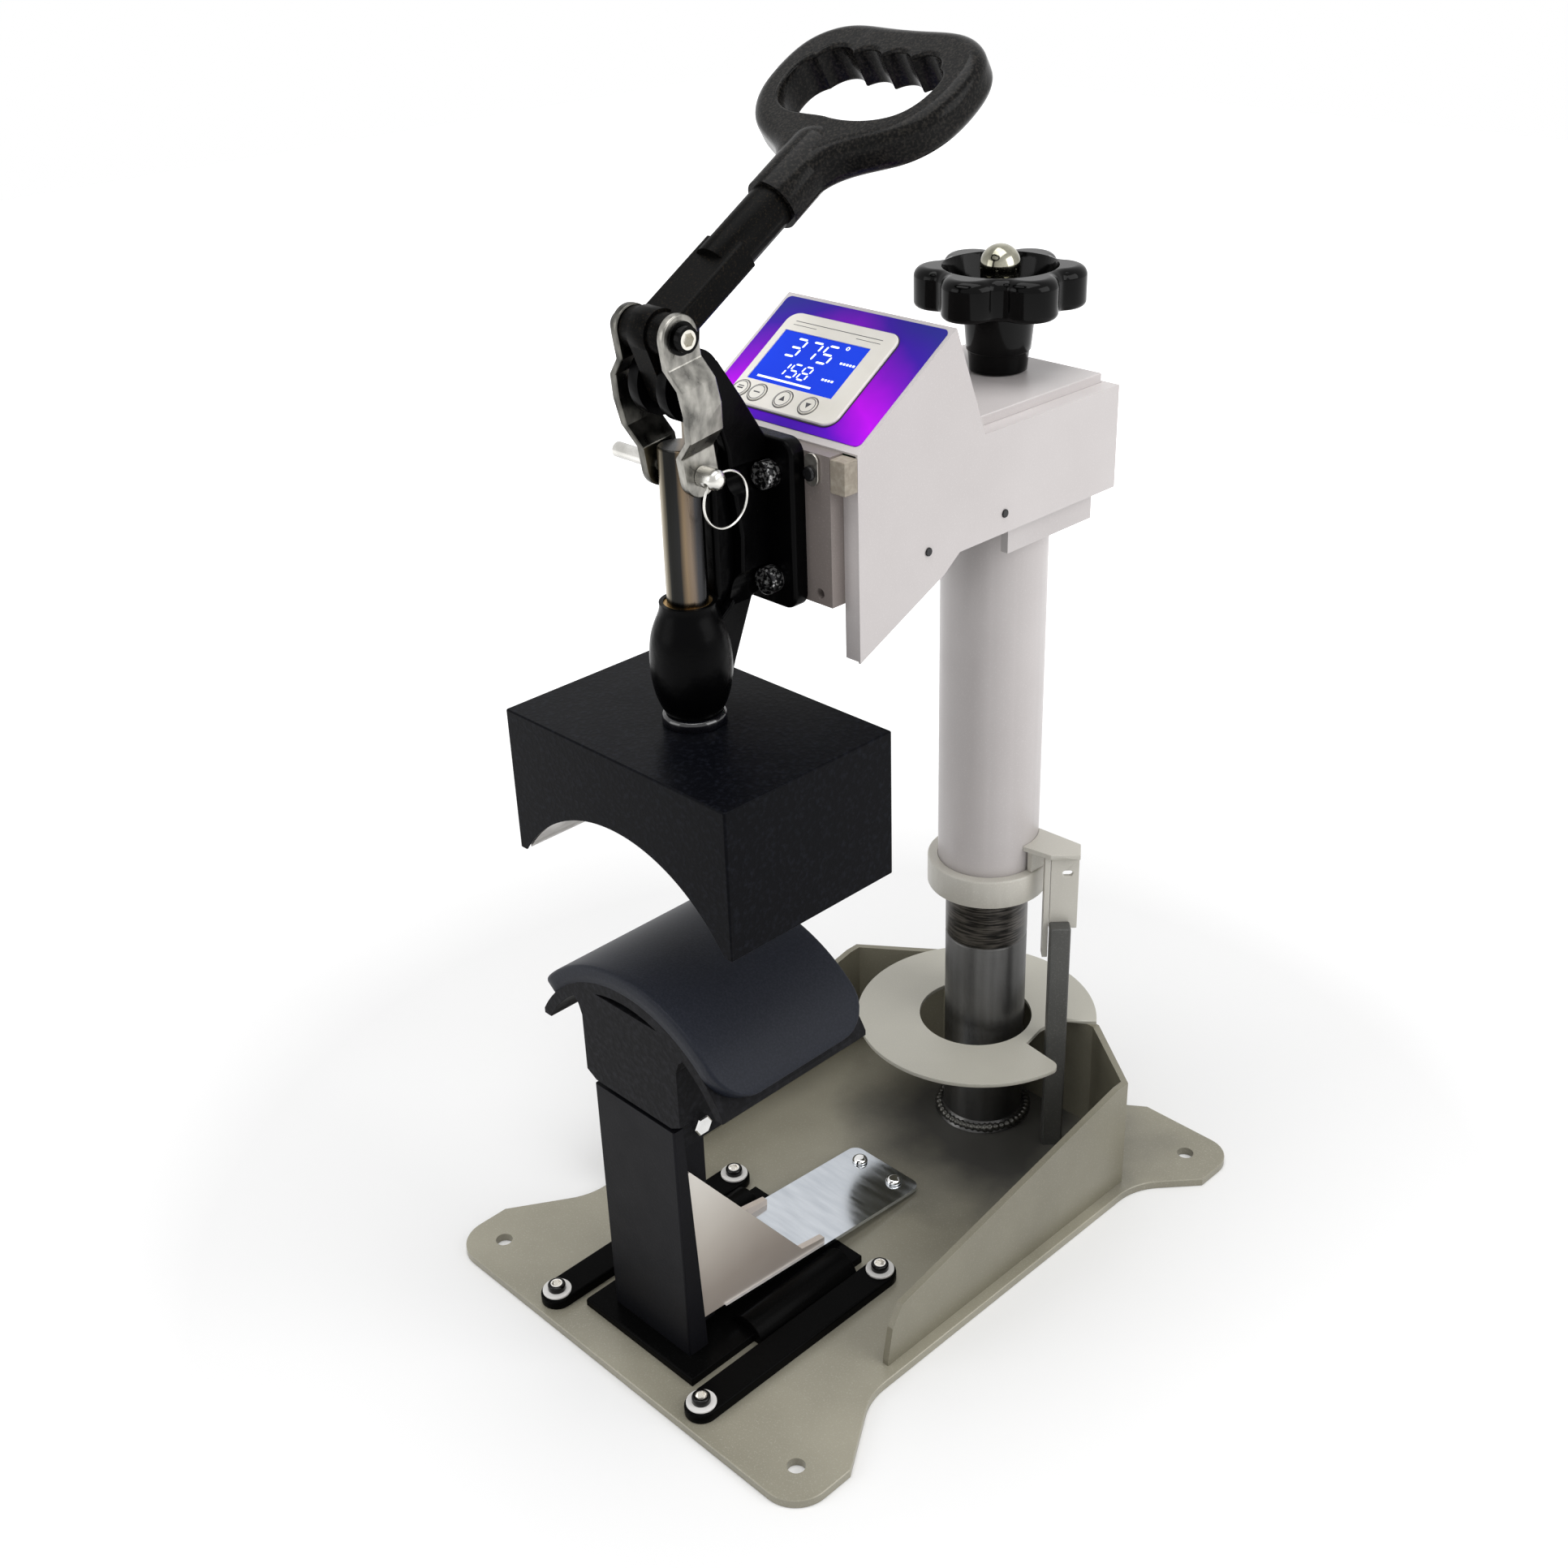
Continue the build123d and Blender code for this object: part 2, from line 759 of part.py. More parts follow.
# Stop bracket: folded plate on the collar whose outer leaf meets the stop bar at the working place.
leaf_t = 4.0
leaf_w = 21.0
leaf_bottom = 204.0
leaf_top = 270.0
leaf_slot_drop = 18.0
strip_bottom = 178.0
strip_w = 9.0
leaf_gap = bar_t / 2 + free_gap
bracket_plane = Plane(
    origin=(bar_reach, post_y + 2, 0), x_dir=(1, 1, 0), z_dir=(0, 0, 1)
)
with BuildPart() as stop_bracket:
    with BuildSketch(bracket_plane.offset(leaf_bottom)):
        with Locations((3, leaf_gap + leaf_t / 2)):
            Rectangle(leaf_w, leaf_t)
    extrude(amount=leaf_top - leaf_bottom)
    with BuildSketch(bracket_plane.offset(strip_bottom)):
        with Locations((-bar_w / 2 - free_gap, leaf_gap)):
            Rectangle(leaf_t, strip_w, align=(Align.MAX, Align.MIN))
    extrude(amount=leaf_top - strip_bottom)
    with BuildSketch(Plane.XY.offset(leaf_top - leaf_t)):
        with BuildLine():
            Polyline(
                (tube_r * cos(radians(-8)), post_y + tube_r * sin(radians(-8))),
                (62, post_y - 2),
                (bar_reach + 8, post_y + 13),
                (bar_reach - 2, post_y + 26),
                (tube_r * cos(radians(40)), post_y + tube_r * sin(radians(40))),
                close=True,
            )
        make_face()
    extrude(amount=leaf_t)
    with BuildSketch(Plane.XY.offset(collar_top)):
        with Locations((tube_r + 4, post_y + 8)):
            Rectangle(leaf_t, 20)
    extrude(amount=leaf_top - collar_top)
    add(upright(0, post_y, strip_bottom, leaf_top + 1, tube_r + fit_gap), mode=Mode.SUBTRACT)
    with BuildSketch(Plane(origin=(bar_reach, post_y + 2, 0), x_dir=(1, 1, 0), z_dir=(1, -1, 0))):
        with Locations((5, leaf_top - leaf_slot_drop)):
            SlotOverall(8, 5)
    extrude(amount=20, both=True, mode=Mode.SUBTRACT)

stop_bracket.part.label = "stop_bracket"
export_step(stop_bracket.part, "parts/stop_bracket.step")

# Arm: two side plates and a top plate around the tube; the front plate closes it.
front_plate_t = house_front_y - flange_y
arm_step_y = 103.0
arm_tail_y = house_rear_y - house_t - 1.5
arm_front_bottom = 552.0
with BuildPart() as head_arm:
    for x_low in (-arm_half_w, arm_half_w - arm_t):
        add(
            side_prism(
                [
                    (house_front_y, arm_front_bottom),
                    (house_front_y, arm_top_z - arm_top_t),
                    (arm_tail_y, arm_top_z - arm_top_t),
                    (arm_tail_y, arm_bottom),
                    (arm_step_y, arm_bottom),
                    (arm_step_y, arm_front_bottom),
                ],
                x_low,
                x_low + arm_t,
            )
        )
    add(
        block(
            -arm_top_half_w, arm_top_half_w,
            deck_front_y + 3, house_rear_y - 3,
            arm_top_z - arm_top_t, arm_top_z,
        )
    )
    add(upright(0, post_y, arm_top_z - arm_top_t - 1, arm_top_z + 1, screw_r + 0.5), mode=Mode.SUBTRACT)

head_arm.part.label = "head_arm"
export_step(head_arm.part, "parts/head_arm.step")

plate_pit_in = 10.0
clip_x = 45.5
clip_z = 621.0
clip_t = 2.0
with BuildPart() as front_plate:
    add(
        block(
            -front_plate_half_w, front_plate_half_w,
            flange_y, house_front_y,
            front_plate_bottom, flange_top - 7,
        )
    )
    for x in (-flange_bolt_x, flange_bolt_x):
        for z in flange_bolt_z:
            add(forward(x, z, flange_y - 1, house_front_y + 1, 5 + fit_gap), mode=Mode.SUBTRACT)
    for x in (-front_plate_half_w + plate_pit_in, front_plate_half_w - plate_pit_in):
        add(forward(x, front_plate_bottom + 7, flange_y - 1, flange_y + 6, 3.2), mode=Mode.SUBTRACT)
    for x in (-clip_x, clip_x):
        add(forward(x, clip_z, flange_y - 1, flange_y + 8, 2 + fit_gap), mode=Mode.SUBTRACT)

front_plate.part.label = "front_plate"
export_step(front_plate.part, "parts/front_plate.step")

# -------------------------------------------------------------- control housing
inlet_y = 14.0
inlet_z = 596.0
inlet_w = 30.0
inlet_h = 22.0
rocker_y = inlet_y
rocker_w = 22.0
rocker_h = 20.0
rocker_z = inlet_z + inlet_h / 2 + rocker_h / 2
side_screws = ((79.5, 560.5), (6.0, 556.0))


def house_outline(skin):
    """Side outline of the housing, drawn in by a sheet thickness on its closed edges."""
    slope = radians(panel_angle)
    back = atan2(panel_rear_z - deck_z, deck_front_y - panel_rear_y)
    return [
        (house_front_y, house_skirt_z),
        (house_front_y, house_brow_z - skin / cos(slope)),
        (
            panel_rear_y - skin * (1 / sin(back) - 1 / sin(slope) * 0 + 0.0) * 0.45,
            panel_rear_z - skin / cos(slope) - skin * 0.45 * sin(slope),
        ),
        (deck_front_y - skin / sin(back), deck_z - skin),
        (house_rear_y - skin, deck_z - skin),
        (house_rear_y - skin, house_belly_z),
        (belly_front_y, house_belly_z),
        (belly_front_y - 15, house_belly_z - 11),
    ]


with BuildPart() as control_housing:
    add(side_prism(house_outline(0), -house_half_w, house_half_w))
    inner = house_outline(house_t)
    inner[0] = (house_front_y - 1, house_skirt_z - 1)
    inner[1] = (house_front_y - 1, inner[1][1])
    inner[5] = (house_rear_y - house_t, house_belly_z - 60)
    inner[6] = (belly_front_y, house_belly_z - 60)
    inner[7] = (belly_front_y - 20, house_skirt_z - 1)
    add(
        side_prism(inner, -house_half_w + house_t, house_half_w - house_t),
        mode=Mode.SUBTRACT,
    )
    add(
        block(
            -arm_top_half_w - free_gap, arm_top_half_w + free_gap,
            deck_front_y + 3 - free_gap, house_rear_y - 3 + free_gap,
            deck_z - house_t - 1, deck_z + 1,
        ),
        mode=Mode.SUBTRACT,
    )
    for side in (-1, 1):
        lip_low = min(side * front_plate_half_w, side * (house_half_w - house_t))
        add(
            block(
                lip_low, lip_low + house_half_w - house_t - front_plate_half_w,
                house_front_y, house_front_y + house_t,
                house_skirt_z + 1, house_brow_z - 3,
            )
        )
    add(
        block(
            -house_half_w - 1, -house_half_w + house_t + 1,
            inlet_y - inlet_w / 2, inlet_y + inlet_w / 2,
            inlet_z - inlet_h / 2, rocker_z + rocker_h / 2,
        ),
        mode=Mode.SUBTRACT,
    )
    for y, z in side_screws:
        add(across(y, z, -house_half_w - 1, house_half_w + 1, 2 + fit_gap), mode=Mode.SUBTRACT)
    with BuildSketch(panel_plane.offset(-5)):
        for x in key_places:
            with Locations((x, key_along)):
                Circle(key_r + free_gap)
        with Locations((glass_x, glass_start + glass_l / 2)):
            Rectangle(glass_w - 4, glass_l - 4)
    extrude(amount=8, mode=Mode.SUBTRACT)

control_housing.part.label = "control_housing"
export_step(control_housing.part, "parts/control_housing.step")

# Panel foil, bezel, glass and keys, all laid on the sloping face.
with BuildPart() as panel_overlay:
    with BuildSketch(panel_plane):
        with Locations((0, panel_len / 2 + 1)):
            RectangleRounded(2 * house_half_w - 6, panel_len - 8, 4)
        with Locations((glass_x, glass_start + glass_l / 2)):
            Rectangle(glass_w - 4, glass_l - 4, mode=Mode.SUBTRACT)
        for x in key_places:
            with Locations((x, key_along)):
                Circle(key_r + free_gap, mode=Mode.SUBTRACT)
    extrude(amount=overlay_t)

panel_overlay.part.label = "panel_overlay"
export_step(panel_overlay.part, "parts/panel_overlay.step")

with BuildPart() as display_bezel:
    with BuildSketch(panel_plane.offset(overlay_t)):
        with Locations((bezel_x, bezel_start + bezel_l / 2)):
            RectangleRounded(bezel_w, bezel_l, 9)
        with Locations((glass_x, glass_start + glass_l / 2)):
            Rectangle(glass_w, glass_l, mode=Mode.SUBTRACT)
        for x in key_places:
            with Locations((x, key_along)):
                Circle(key_r + free_gap, mode=Mode.SUBTRACT)
    extrude(amount=bezel_t)
    top_face = display_bezel.faces().filter_by(panel_plane).sort_by(Axis.Z)[-1]
    chamfer(top_face.outer_wire().edges(), 0.7)

display_bezel.part.label = "display_bezel"
export_step(display_bezel.part, "parts/display_bezel.step")

with BuildPart() as display_glass:
    with BuildSketch(panel_plane.offset(overlay_t)):
        with Locations((glass_x, glass_start + glass_l / 2)):
            Rectangle(glass_w - 2 * fit_gap, glass_l - 2 * fit_gap)
    extrude(amount=bezel_t - 0.6)

display_glass.part.label = "display_glass"
export_step(display_glass.part, "parts/display_glass.step")

key_foot = -5.0
for number, x in enumerate(key_places, start=1):
    with BuildPart() as key:
        with BuildSketch(panel_plane.offset(key_foot)):
            with Locations((x, key_along)):
                Circle(key_r)
        extrude(amount=overlay_t + bezel_t + 0.7 - key_foot)
        fillet(key.edges().group_by(Axis((0, 0, 0), tuple(panel_plane.z_dir)))[-1], 0.4)
        with BuildSketch(panel_plane.offset(key_foot)):
            with Locations((x, key_along)):
                Circle(key_r + 0.9)
        extrude(amount=-house_t - free_gap - key_foot)
    key.part.label = f"panel_key_{number}"
    export_step(key.part, f"parts/panel_key_{number}.step")

# Boards: the display board behind the panel, and the mains board between the arm plates.
board_t = 1.6
board_gap = 7.5
board_w = 104.0
board_l = 84.0
mains_in = 6.0
mains_front_y = -40.0
mains_l = 100.0
mains_low_z = 560.0
mains_h = 42.0
mains_x = -arm_half_w + arm_t + mains_in
with BuildPart() as circuit_boards:
    with BuildSketch(panel_plane.offset(-board_gap - board_t)):
        with Locations((bezel_x, panel_len / 2)):
            Rectangle(board_w, board_l)
    extrude(amount=board_t)
    with BuildSketch(panel_plane.offset(-board_gap)):
        for x in key_places:
            with Locations((x, key_along)):
                Rectangle(6, 6)
    extrude(amount=board_gap + key_foot - key_travel - free_gap)
    with BuildSketch(panel_plane.offset(-board_gap)):
        with Locations((glass_x, glass_start + glass_l / 2)):
            Rectangle(glass_w - 6, glass_l - 6)
    extrude(amount=board_gap + overlay_t)
    with BuildSketch(panel_plane.offset(-board_gap)):
        with Locations((bezel_x, panel_len / 2)):
            with GridLocations(board_w - 12, board_l - 8, 2, 2):
                Circle(3)
    extrude(amount=board_gap - house_t)
    add(
        block(
            mains_x, mains_x + board_t,
            mains_front_y, mains_front_y + mains_l,
            mains_low_z, mains_low_z + mains_h,
        )
    )
    for y in (mains_front_y + 6, mains_front_y + mains_l - 6):
        for z in (mains_low_z + 5, mains_low_z + mains_h - 5):
            add(across(y, z, mains_x - mains_in, mains_x + 0.5, 3))
    for part_y, part_l, part_h in ((mains_front_y + 10, 25, 21.5), (mains_front_y + 50, 20, 17.5)):
        add(
            block(
                mains_x + board_t, mains_x + board_t + part_h,
                part_y, part_y + part_l,
                mains_low_z + 7, mains_low_z + 31,
            )
        )
    add(across(mains_front_y + 85, mains_low_z + 20, mains_x + board_t, mains_x + board_t + 23, 7))

circuit_boards.part.label = "circuit_boards"
export_step(circuit_boards.part, "parts/circuit_boards.step")

core_x = 2.0
core_y = 0.0
core_l = 52.0
core_low_z = 562.0
core_h = 40.0
with BuildPart() as transformer:
    add(
        block(
            core_x, arm_half_w - arm_t,
            core_y, core_y + core_l,
            core_low_z, core_low_z + core_h,
        )
    )
    add(
        block(
            core_x - 10, core_x,
            core_y + 10, core_y + core_l - 10,
            core_low_z + 6, core_low_z + core_h - 6,
        )
    )
    add(
        block(
            core_x + 4, arm_half_w - arm_t,
            core_y - 8, core_y + core_l + 8,
            core_low_z, core_low_z + 4,
        )
    )

transformer.part.label = "transformer"
export_step(transformer.part, "parts/transformer.step")

socket_depth = house_half_w - arm_half_w - 0.5
rocker_case = socket_depth - 2
frame_lip = 3.0
with BuildPart() as power_inlet:
    add(
        block(
            -house_half_w - 2, -house_half_w,
            inlet_y - inlet_w / 2 - frame_lip, inlet_y + inlet_w / 2 + frame_lip,
            inlet_z - inlet_h / 2 - frame_lip, rocker_z + rocker_h / 2 + frame_lip,
        )
    )
    add(
        block(
            -house_half_w, -house_half_w + socket_depth,
            inlet_y - inlet_w / 2 + fit_gap, inlet_y + inlet_w / 2 - fit_gap,
            inlet_z - inlet_h / 2 + fit_gap, rocker_z + rocker_h / 2 - fit_gap,
        )
    )
    add(
        block(
            -house_half_w - 3, -house_half_w + socket_depth - 2,
            inlet_y - 12, inlet_y + 12,
            inlet_z - 8, inlet_z + 7,
        ),
        mode=Mode.SUBTRACT,
    )
    add(
        block(
            -house_half_w - 3, -house_half_w + rocker_case,
            rocker_y - rocker_w / 2, rocker_y + rocker_w / 2,
            rocker_z - rocker_h / 2, rocker_z + rocker_h / 2 - frame_lip,
        ),
        mode=Mode.SUBTRACT,
    )
    for y in (inlet_y - 7, inlet_y, inlet_y + 7):
        blade_z = inlet_z + (1 if y == inlet_y else -3)
        add(block(-house_half_w + 1, -house_half_w + socket_depth - 1, y - 1, y + 1, blade_z - 2.5, blade_z + 2.5))

power_inlet.part.label = "power_inlet"
export_step(power_inlet.part, "parts/power_inlet.step")

rocker_mid_z = rocker_z - frame_lip / 2
rocker_pivot_x = -house_half_w + 4
rocker_half_h = rocker_h / 2 - frame_lip / 2 - 0.6
with BuildPart() as power_rocker:
    with BuildSketch(Plane.XZ.offset(-(rocker_y - rocker_w / 2 + free_gap))):
        with BuildLine():
            Polyline(
                (rocker_pivot_x + 4, rocker_mid_z),
                (rocker_pivot_x - 2, rocker_mid_z + rocker_half_h - 2),
                (rocker_pivot_x - 7.5, rocker_mid_z + rocker_half_h - 2),
                (rocker_pivot_x - 5.6, rocker_mid_z),
                (rocker_pivot_x - 4.6, rocker_mid_z - rocker_half_h + 1),
                (rocker_pivot_x, rocker_mid_z - rocker_half_h + 1),
                close=True,
            )
        make_face()
    extrude(amount=-(rocker_w - 2 * free_gap))

power_rocker.part.label = "power_rocker"
export_step(power_rocker.part, "parts/power_rocker.step")

# Corner blocks and screwed clips at the two top corners of the front plate.
corner_in_x = 52.0
corner_low_z = 611.0
corner_h = 21.0
with BuildPart() as corner_blocks:
    for side in (-1, 1):
        x_low = min(side * corner_in_x, side * house_half_w)
        add(
            block(
                x_low, x_low + house_half_w - corner_in_x,
                flange_y, house_front_y - fit_gap,
                corner_low_z, corner_low_z + corner_h,
            )
        )
    add(front_plate.part, mode=Mode.SUBTRACT)

corner_blocks.part.label = "corner_blocks"
export_step(corner_blocks.part, "parts/corner_blocks.step")

with BuildPart() as panel_clips:
    for x in (-clip_x, clip_x):
        with BuildSketch(Plane.XZ.offset(-flange_y)):
            with Locations((x, clip_z + 2)):
                SlotOverall(20, 11, rotation=90)
            with Locations((x, clip_z)):
                Circle(2 + fit_gap, mode=Mode.SUBTRACT)
        extrude(amount=clip_t)

panel_clips.part.label = "panel_clips"
export_step(panel_clips.part, "parts/panel_clips.step")

screw_head_r = 4.5
screw_head_h = 3.2
side_head_r = 2.8
side_head_h = 1.2
with BuildPart() as housing_screws:
    for x in (-clip_x, clip_x):
        add(forward(x, clip_z, flange_y - clip_t - screw_head_h, flange_y - clip_t, screw_head_r))
        add(forward(x, clip_z, flange_y - clip_t - 1, flange_y + 7, 2))
    for y, z in side_screws:
        for side in (-1, 1):
            head = sorted((side * house_half_w, side * (house_half_w + side_head_h)))
            shank = sorted((side * (house_half_w - 8), side * (house_half_w + 1)))
            add(across(y, z, head[0], head[1], side_head_r))
            add(across(y, z, shank[0], shank[1], 2))
    fillet(housing_screws.edges().group_by(Axis.Y)[0], 1.2)
    fillet(housing_screws.edges().group_by(Axis.X)[0], 0.6)
    fillet(housing_screws.edges().group_by(Axis.X)[-1], 0.6)

housing_screws.part.label = "housing_screws"
export_step(housing_screws.part, "parts/housing_screws.step")

# ---------------------------------------------------------------- toggle bracket
flange_face_y = flange_y - flange_t
bush_wall = 2.3
web_half = 8.0
with BuildPart() as toggle_bracket:
    with BuildSketch(Plane.XZ.offset(-flange_y)):
        with Locations((0, (flange_bottom + flange_top) / 2)):
            RectangleRounded(2 * flange_half_w, flange_top - flange_bottom, 10)
    extrude(amount=flange_t)
    fillet(toggle_bracket.faces().sort_by(Axis.Y)[0].edges(), 2.5)
    with BuildSketch(Plane.XZ.offset(-ram_y)):
        with BuildLine():
            barrel_side = Spline(
                *[(radius, barrel_bottom + share * barrel_h) for share, radius in barrel_radii]
            )
            Polyline(barrel_side @ 1, (0, barrel_top), (0, barrel_bottom), barrel_side @ 0)
        make_face()
    revolve(axis=Axis((0, ram_y, 0), (0, 0, 1)))
    add(
        side_prism(
            [
                (ram_y + 6, barrel_bottom + 2),
                (ram_y + 17, barrel_bottom + 2),
                (ram_y + 46, flange_bottom + 4),
                (flange_face_y + 3, flange_bottom + 8),
                (flange_face_y + 3, flange_top - 4),
                (ram_y + 37, pivot_z - 24),
                (ram_y + 27, pivot_z - 38),
                (ram_y + 20, pivot_z - 46),
                (ram_y + 17.5, pivot_z - 57),
                (ram_y + 17.5, barrel_top - 1),
                (ram_y + 6, barrel_top - 1),
            ],
            -web_half,
            web_half,
            rim=3,
        )
    )
    for x_low in (-ear_out, ear_in):
        add(
            side_prism(
                [
                    (ram_y, pivot_z - ear_r + 0.5),
                    (ram_y + 18, pivot_z - ear_r - 6),
                    (ram_y + 24, pivot_z - 46),
                    (ram_y + 32, pivot_z - 100),
                    (ram_y + 31, barrel_top + 11),
                    (ram_y + 26, barrel_top),
                    (ram_y + 20, barrel_top - 6.5),
                    (ram_y + 6, barrel_top - 17.5),
                    (ram_y + 6, barrel_bottom + 14),
                    (ram_y + 17, barrel_bottom + 14),
                    (ram_y + 23, barrel_bottom + 30),
                    (ram_y + 38.5, flange_bottom + 9),
                    (ram_y + 41, flange_bottom + 15),
                    (flange_face_y + 3, flange_bottom + 18),
                    (flange_face_y + 3, flange_top - 3),
                    (ram_y + 38, pivot_z - 16),
                    (ram_y + 20, pivot_z + 10),
                ],
                x_low,
                x_low + ear_out - ear_in,
                rim=2,
            )
        )
        add(across(ram_y, pivot_z, x_low, x_low + ear_out - ear_in, ear_r))
    add(upright(0, ram_y, barrel_bottom - 1, barrel_top + 1, ram_r + bush_wall), mode=Mode.SUBTRACT)
    add(across(ram_y, pivot_z, -ear_out - 1, ear_out + 1, pivot_r + fit_gap), mode=Mode.SUBTRACT)
    for x in (-flange_bolt_x, flange_bolt_x):
        for z in flange_bolt_z:
            add(forward(x, z, flange_face_y - 1, flange_y + 1, 5 + fit_gap), mode=Mode.SUBTRACT)
            add(forward(x, z, flange_face_y - 30, flange_face_y, 10), mode=Mode.SUBTRACT)

toggle_bracket.part.label = "toggle_bracket"
export_step(toggle_bracket.part, "parts/toggle_bracket.step")

bolt_head_r = 8.5
bolt_head_h = 9.0
with BuildPart() as bracket_bolts:
    for x in (-flange_bolt_x, flange_bolt_x):
        for z in flange_bolt_z:
            add(forward(x, z, flange_face_y - bolt_head_h, flange_face_y, bolt_head_r))
            add(forward(x, z, flange_face_y - 1, house_front_y - 1, 5))
    chamfer(bracket_bolts.edges().group_by(Axis.Y)[0], 0.8)
    with BuildSketch(Plane.XZ.offset(-(flange_face_y - bolt_head_h))):
        for z in flange_bolt_z:
            with Locations((-flange_bolt_x, z), (flange_bolt_x, z)):
                RegularPolygon(4.3, 6, major_radius=False)
    extrude(amount=-5, mode=Mode.SUBTRACT)

bracket_bolts.part.label = "bracket_bolts"
export_step(bracket_bolts.part, "parts/bracket_bolts.step")

ram_bush_h = 16.0
with BuildPart() as ram_bushes:
    for z_low in (barrel_bottom + 1, barrel_top - ram_bush_h - 1):
        add(upright(0, ram_y, z_low, z_low + ram_bush_h, ram_r + bush_wall - fit_gap))
    add(upright(0, ram_y, barrel_bottom, barrel_top, ram_r + run_gap), mode=Mode.SUBTRACT)

ram_bushes.part.label = "ram_bushes"
export_step(ram_bushes.part, "parts/ram_bushes.step")

with BuildPart() as pivot_pin:
    add(across(ram_y, pivot_z, -ear_out + 0.2, ear_out - 0.2, pivot_r))
    chamfer(pivot_pin.edges().filter_by(GeomType.CIRCLE), 0.8)

pivot_pin.part.label = "pivot_pin"
export_step(pivot_pin.part, "parts/pivot_pin.step")

# ------------------------------------------------------------------ lever, grip
def lever_section(along):
    """Plane square to the lever bar at a distance along it."""
    return Plane(
        origin=lever_plane.from_local_coords((along, 0, 0)),
        x_dir=(1, 0, 0),
        z_dir=tuple(lever_plane.x_dir),
    )


tongue_half = ear_in - 0.8
boss_r = crank_r - ear_r - 0.7
lever_pivot = lever_plane.to_local_coords(Vector(0, ram_y, pivot_z))
lever_wrist = lever_plane.to_local_coords(Vector(0, wrist_y, wrist_z))
with BuildPart() as lever_arm:
    with BuildSketch(lever_plane.offset(-tongue_half)):
        with Locations((lever_wrist.X, lever_wrist.Y)):
            Circle(boss_r + 2)
        with Locations((lever_pivot.X, lever_pivot.Y)):
            Circle(15)
        with BuildLine():
            Polyline(
                (lever_wrist.X - boss_r - 2, lever_wrist.Y),
                (lever_pivot.X - 15, lever_pivot.Y),
                (lever_pivot.X + 15, lever_pivot.Y),
                (lever_wrist.X + boss_r + 14, -lever_t / 2),
                (lever_wrist.X + boss_r + 4, lever_t / 2),
                close=True,
            )
        make_face()
    extrude(amount=2 * tongue_half)
    with BuildSketch(lever_plane.offset(-lever_half_w)):
        with Locations((lever_wrist.X, lever_wrist.Y)):
            Circle(boss_r)
    extrude(amount=2 * lever_half_w)
    with BuildSketch(lever_section(lever_wrist.X)):
        RectangleRounded(2 * lever_half_w, lever_t, 3)
    extrude(amount=lever_flat_len - lever_wrist.X)
    with BuildSketch(lever_section(lever_flat_len - 14)):
        Circle(lever_tube_r)
    extrude(amount=lever_len - lever_flat_len + 14)
    add(across(ram_y, pivot_z, -lever_half_w, lever_half_w, pivot_r + run_gap), mode=Mode.SUBTRACT)
    add(across(wrist_y, wrist_z, -lever_half_w - 1, lever_half_w + 1, bolt_r), mode=Mode.SUBTRACT)

lever_arm.part.label = "lever_arm"
export_step(lever_arm.part, "parts/lever_arm.step")

# Moulded loop grip, wider than long, its far bar scalloped for four fingers.
grip_half_t = 13.0
grip_start = 97.0
grip_neck_r = 17.0
neck_end = 139.0
grip_plane = Plane(
    origin=lever_plane.origin,
    x_dir=(1, 0, 0),
    z_dir=(0, -sin(radians(lever_angle)), cos(radians(lever_angle))),
)
grip_right = [(15, 112), (19, 127), (36, 140), (58, 153), (72, 173), (75.5, 198), (69, 224), (49, 239), (18, 241)]
grip_loop = grip_right + [(-x, along) for x, along in reversed(grip_right)]
loop_right = [(34, 161), (50, 170), (57, 186), (55, 202), (42, 210)]
loop_low, loop_high = 159.0, 211.0
finger_places = (-34.5, -11.5, 11.5, 34.5)
finger_r = 15.5


def grip_rims(solid, around_loop):
    """Edges of the grip's two flat faces, on the outside or round the finger loop."""
    rims = []
    for edge in solid.edges():
        middle = grip_plane.to_local_coords(edge @ 0.5)
        on_rim = abs(abs(middle.Z) - grip_half_t) < 0.05
        in_loop = abs(middle.X) < 58 and loop_low - 1 < middle.Y < loop_high + 10
        if on_rim and in_loop == around_loop:
            rims.append(edge)
    return rims


with BuildPart() as hand_grip:
    with BuildSketch(grip_plane.offset(-grip_half_t)):
        with BuildLine():
            rounded_side = Spline(*grip_loop)
            Line(rounded_side @ 1, rounded_side @ 0)
        make_face()
    extrude(amount=2 * grip_half_t)
    with BuildSketch(grip_plane.offset(-grip_half_t - 1)):
        with BuildLine():
            Spline(
                (0, loop_low), *loop_right, (0, loop_high),
                *[(-x, along) for x, along in reversed(loop_right)], periodic=True,
            )
        make_face()
        with Locations(*[(x, loop_high - 9) for x in finger_places]):
            Circle(finger_r)
    extrude(amount=2 * grip_half_t + 2, mode=Mode.SUBTRACT)
    fillet(grip_rims(hand_grip.part, around_loop=False), 9)
    fillet(grip_rims(hand_grip.part, around_loop=True), 0.2 * grip_half_t)
    with BuildSketch(lever_section(grip_start)):
        Circle(grip_neck_r)
    extrude(amount=neck_end - grip_start)
    add(Pos(*lever_plane.from_local_coords((neck_end, 0, 0))) * Sphere(grip_neck_r, mode=Mode.PRIVATE))
    with BuildSketch(lever_section(grip_start - 1)):
        Circle(lever_tube_r + fit_gap)
    extrude(amount=lever_len - grip_start + 1.5, mode=Mode.SUBTRACT)

hand_grip.part.label = "hand_grip"
export_step(hand_grip.part, "parts/hand_grip.step")

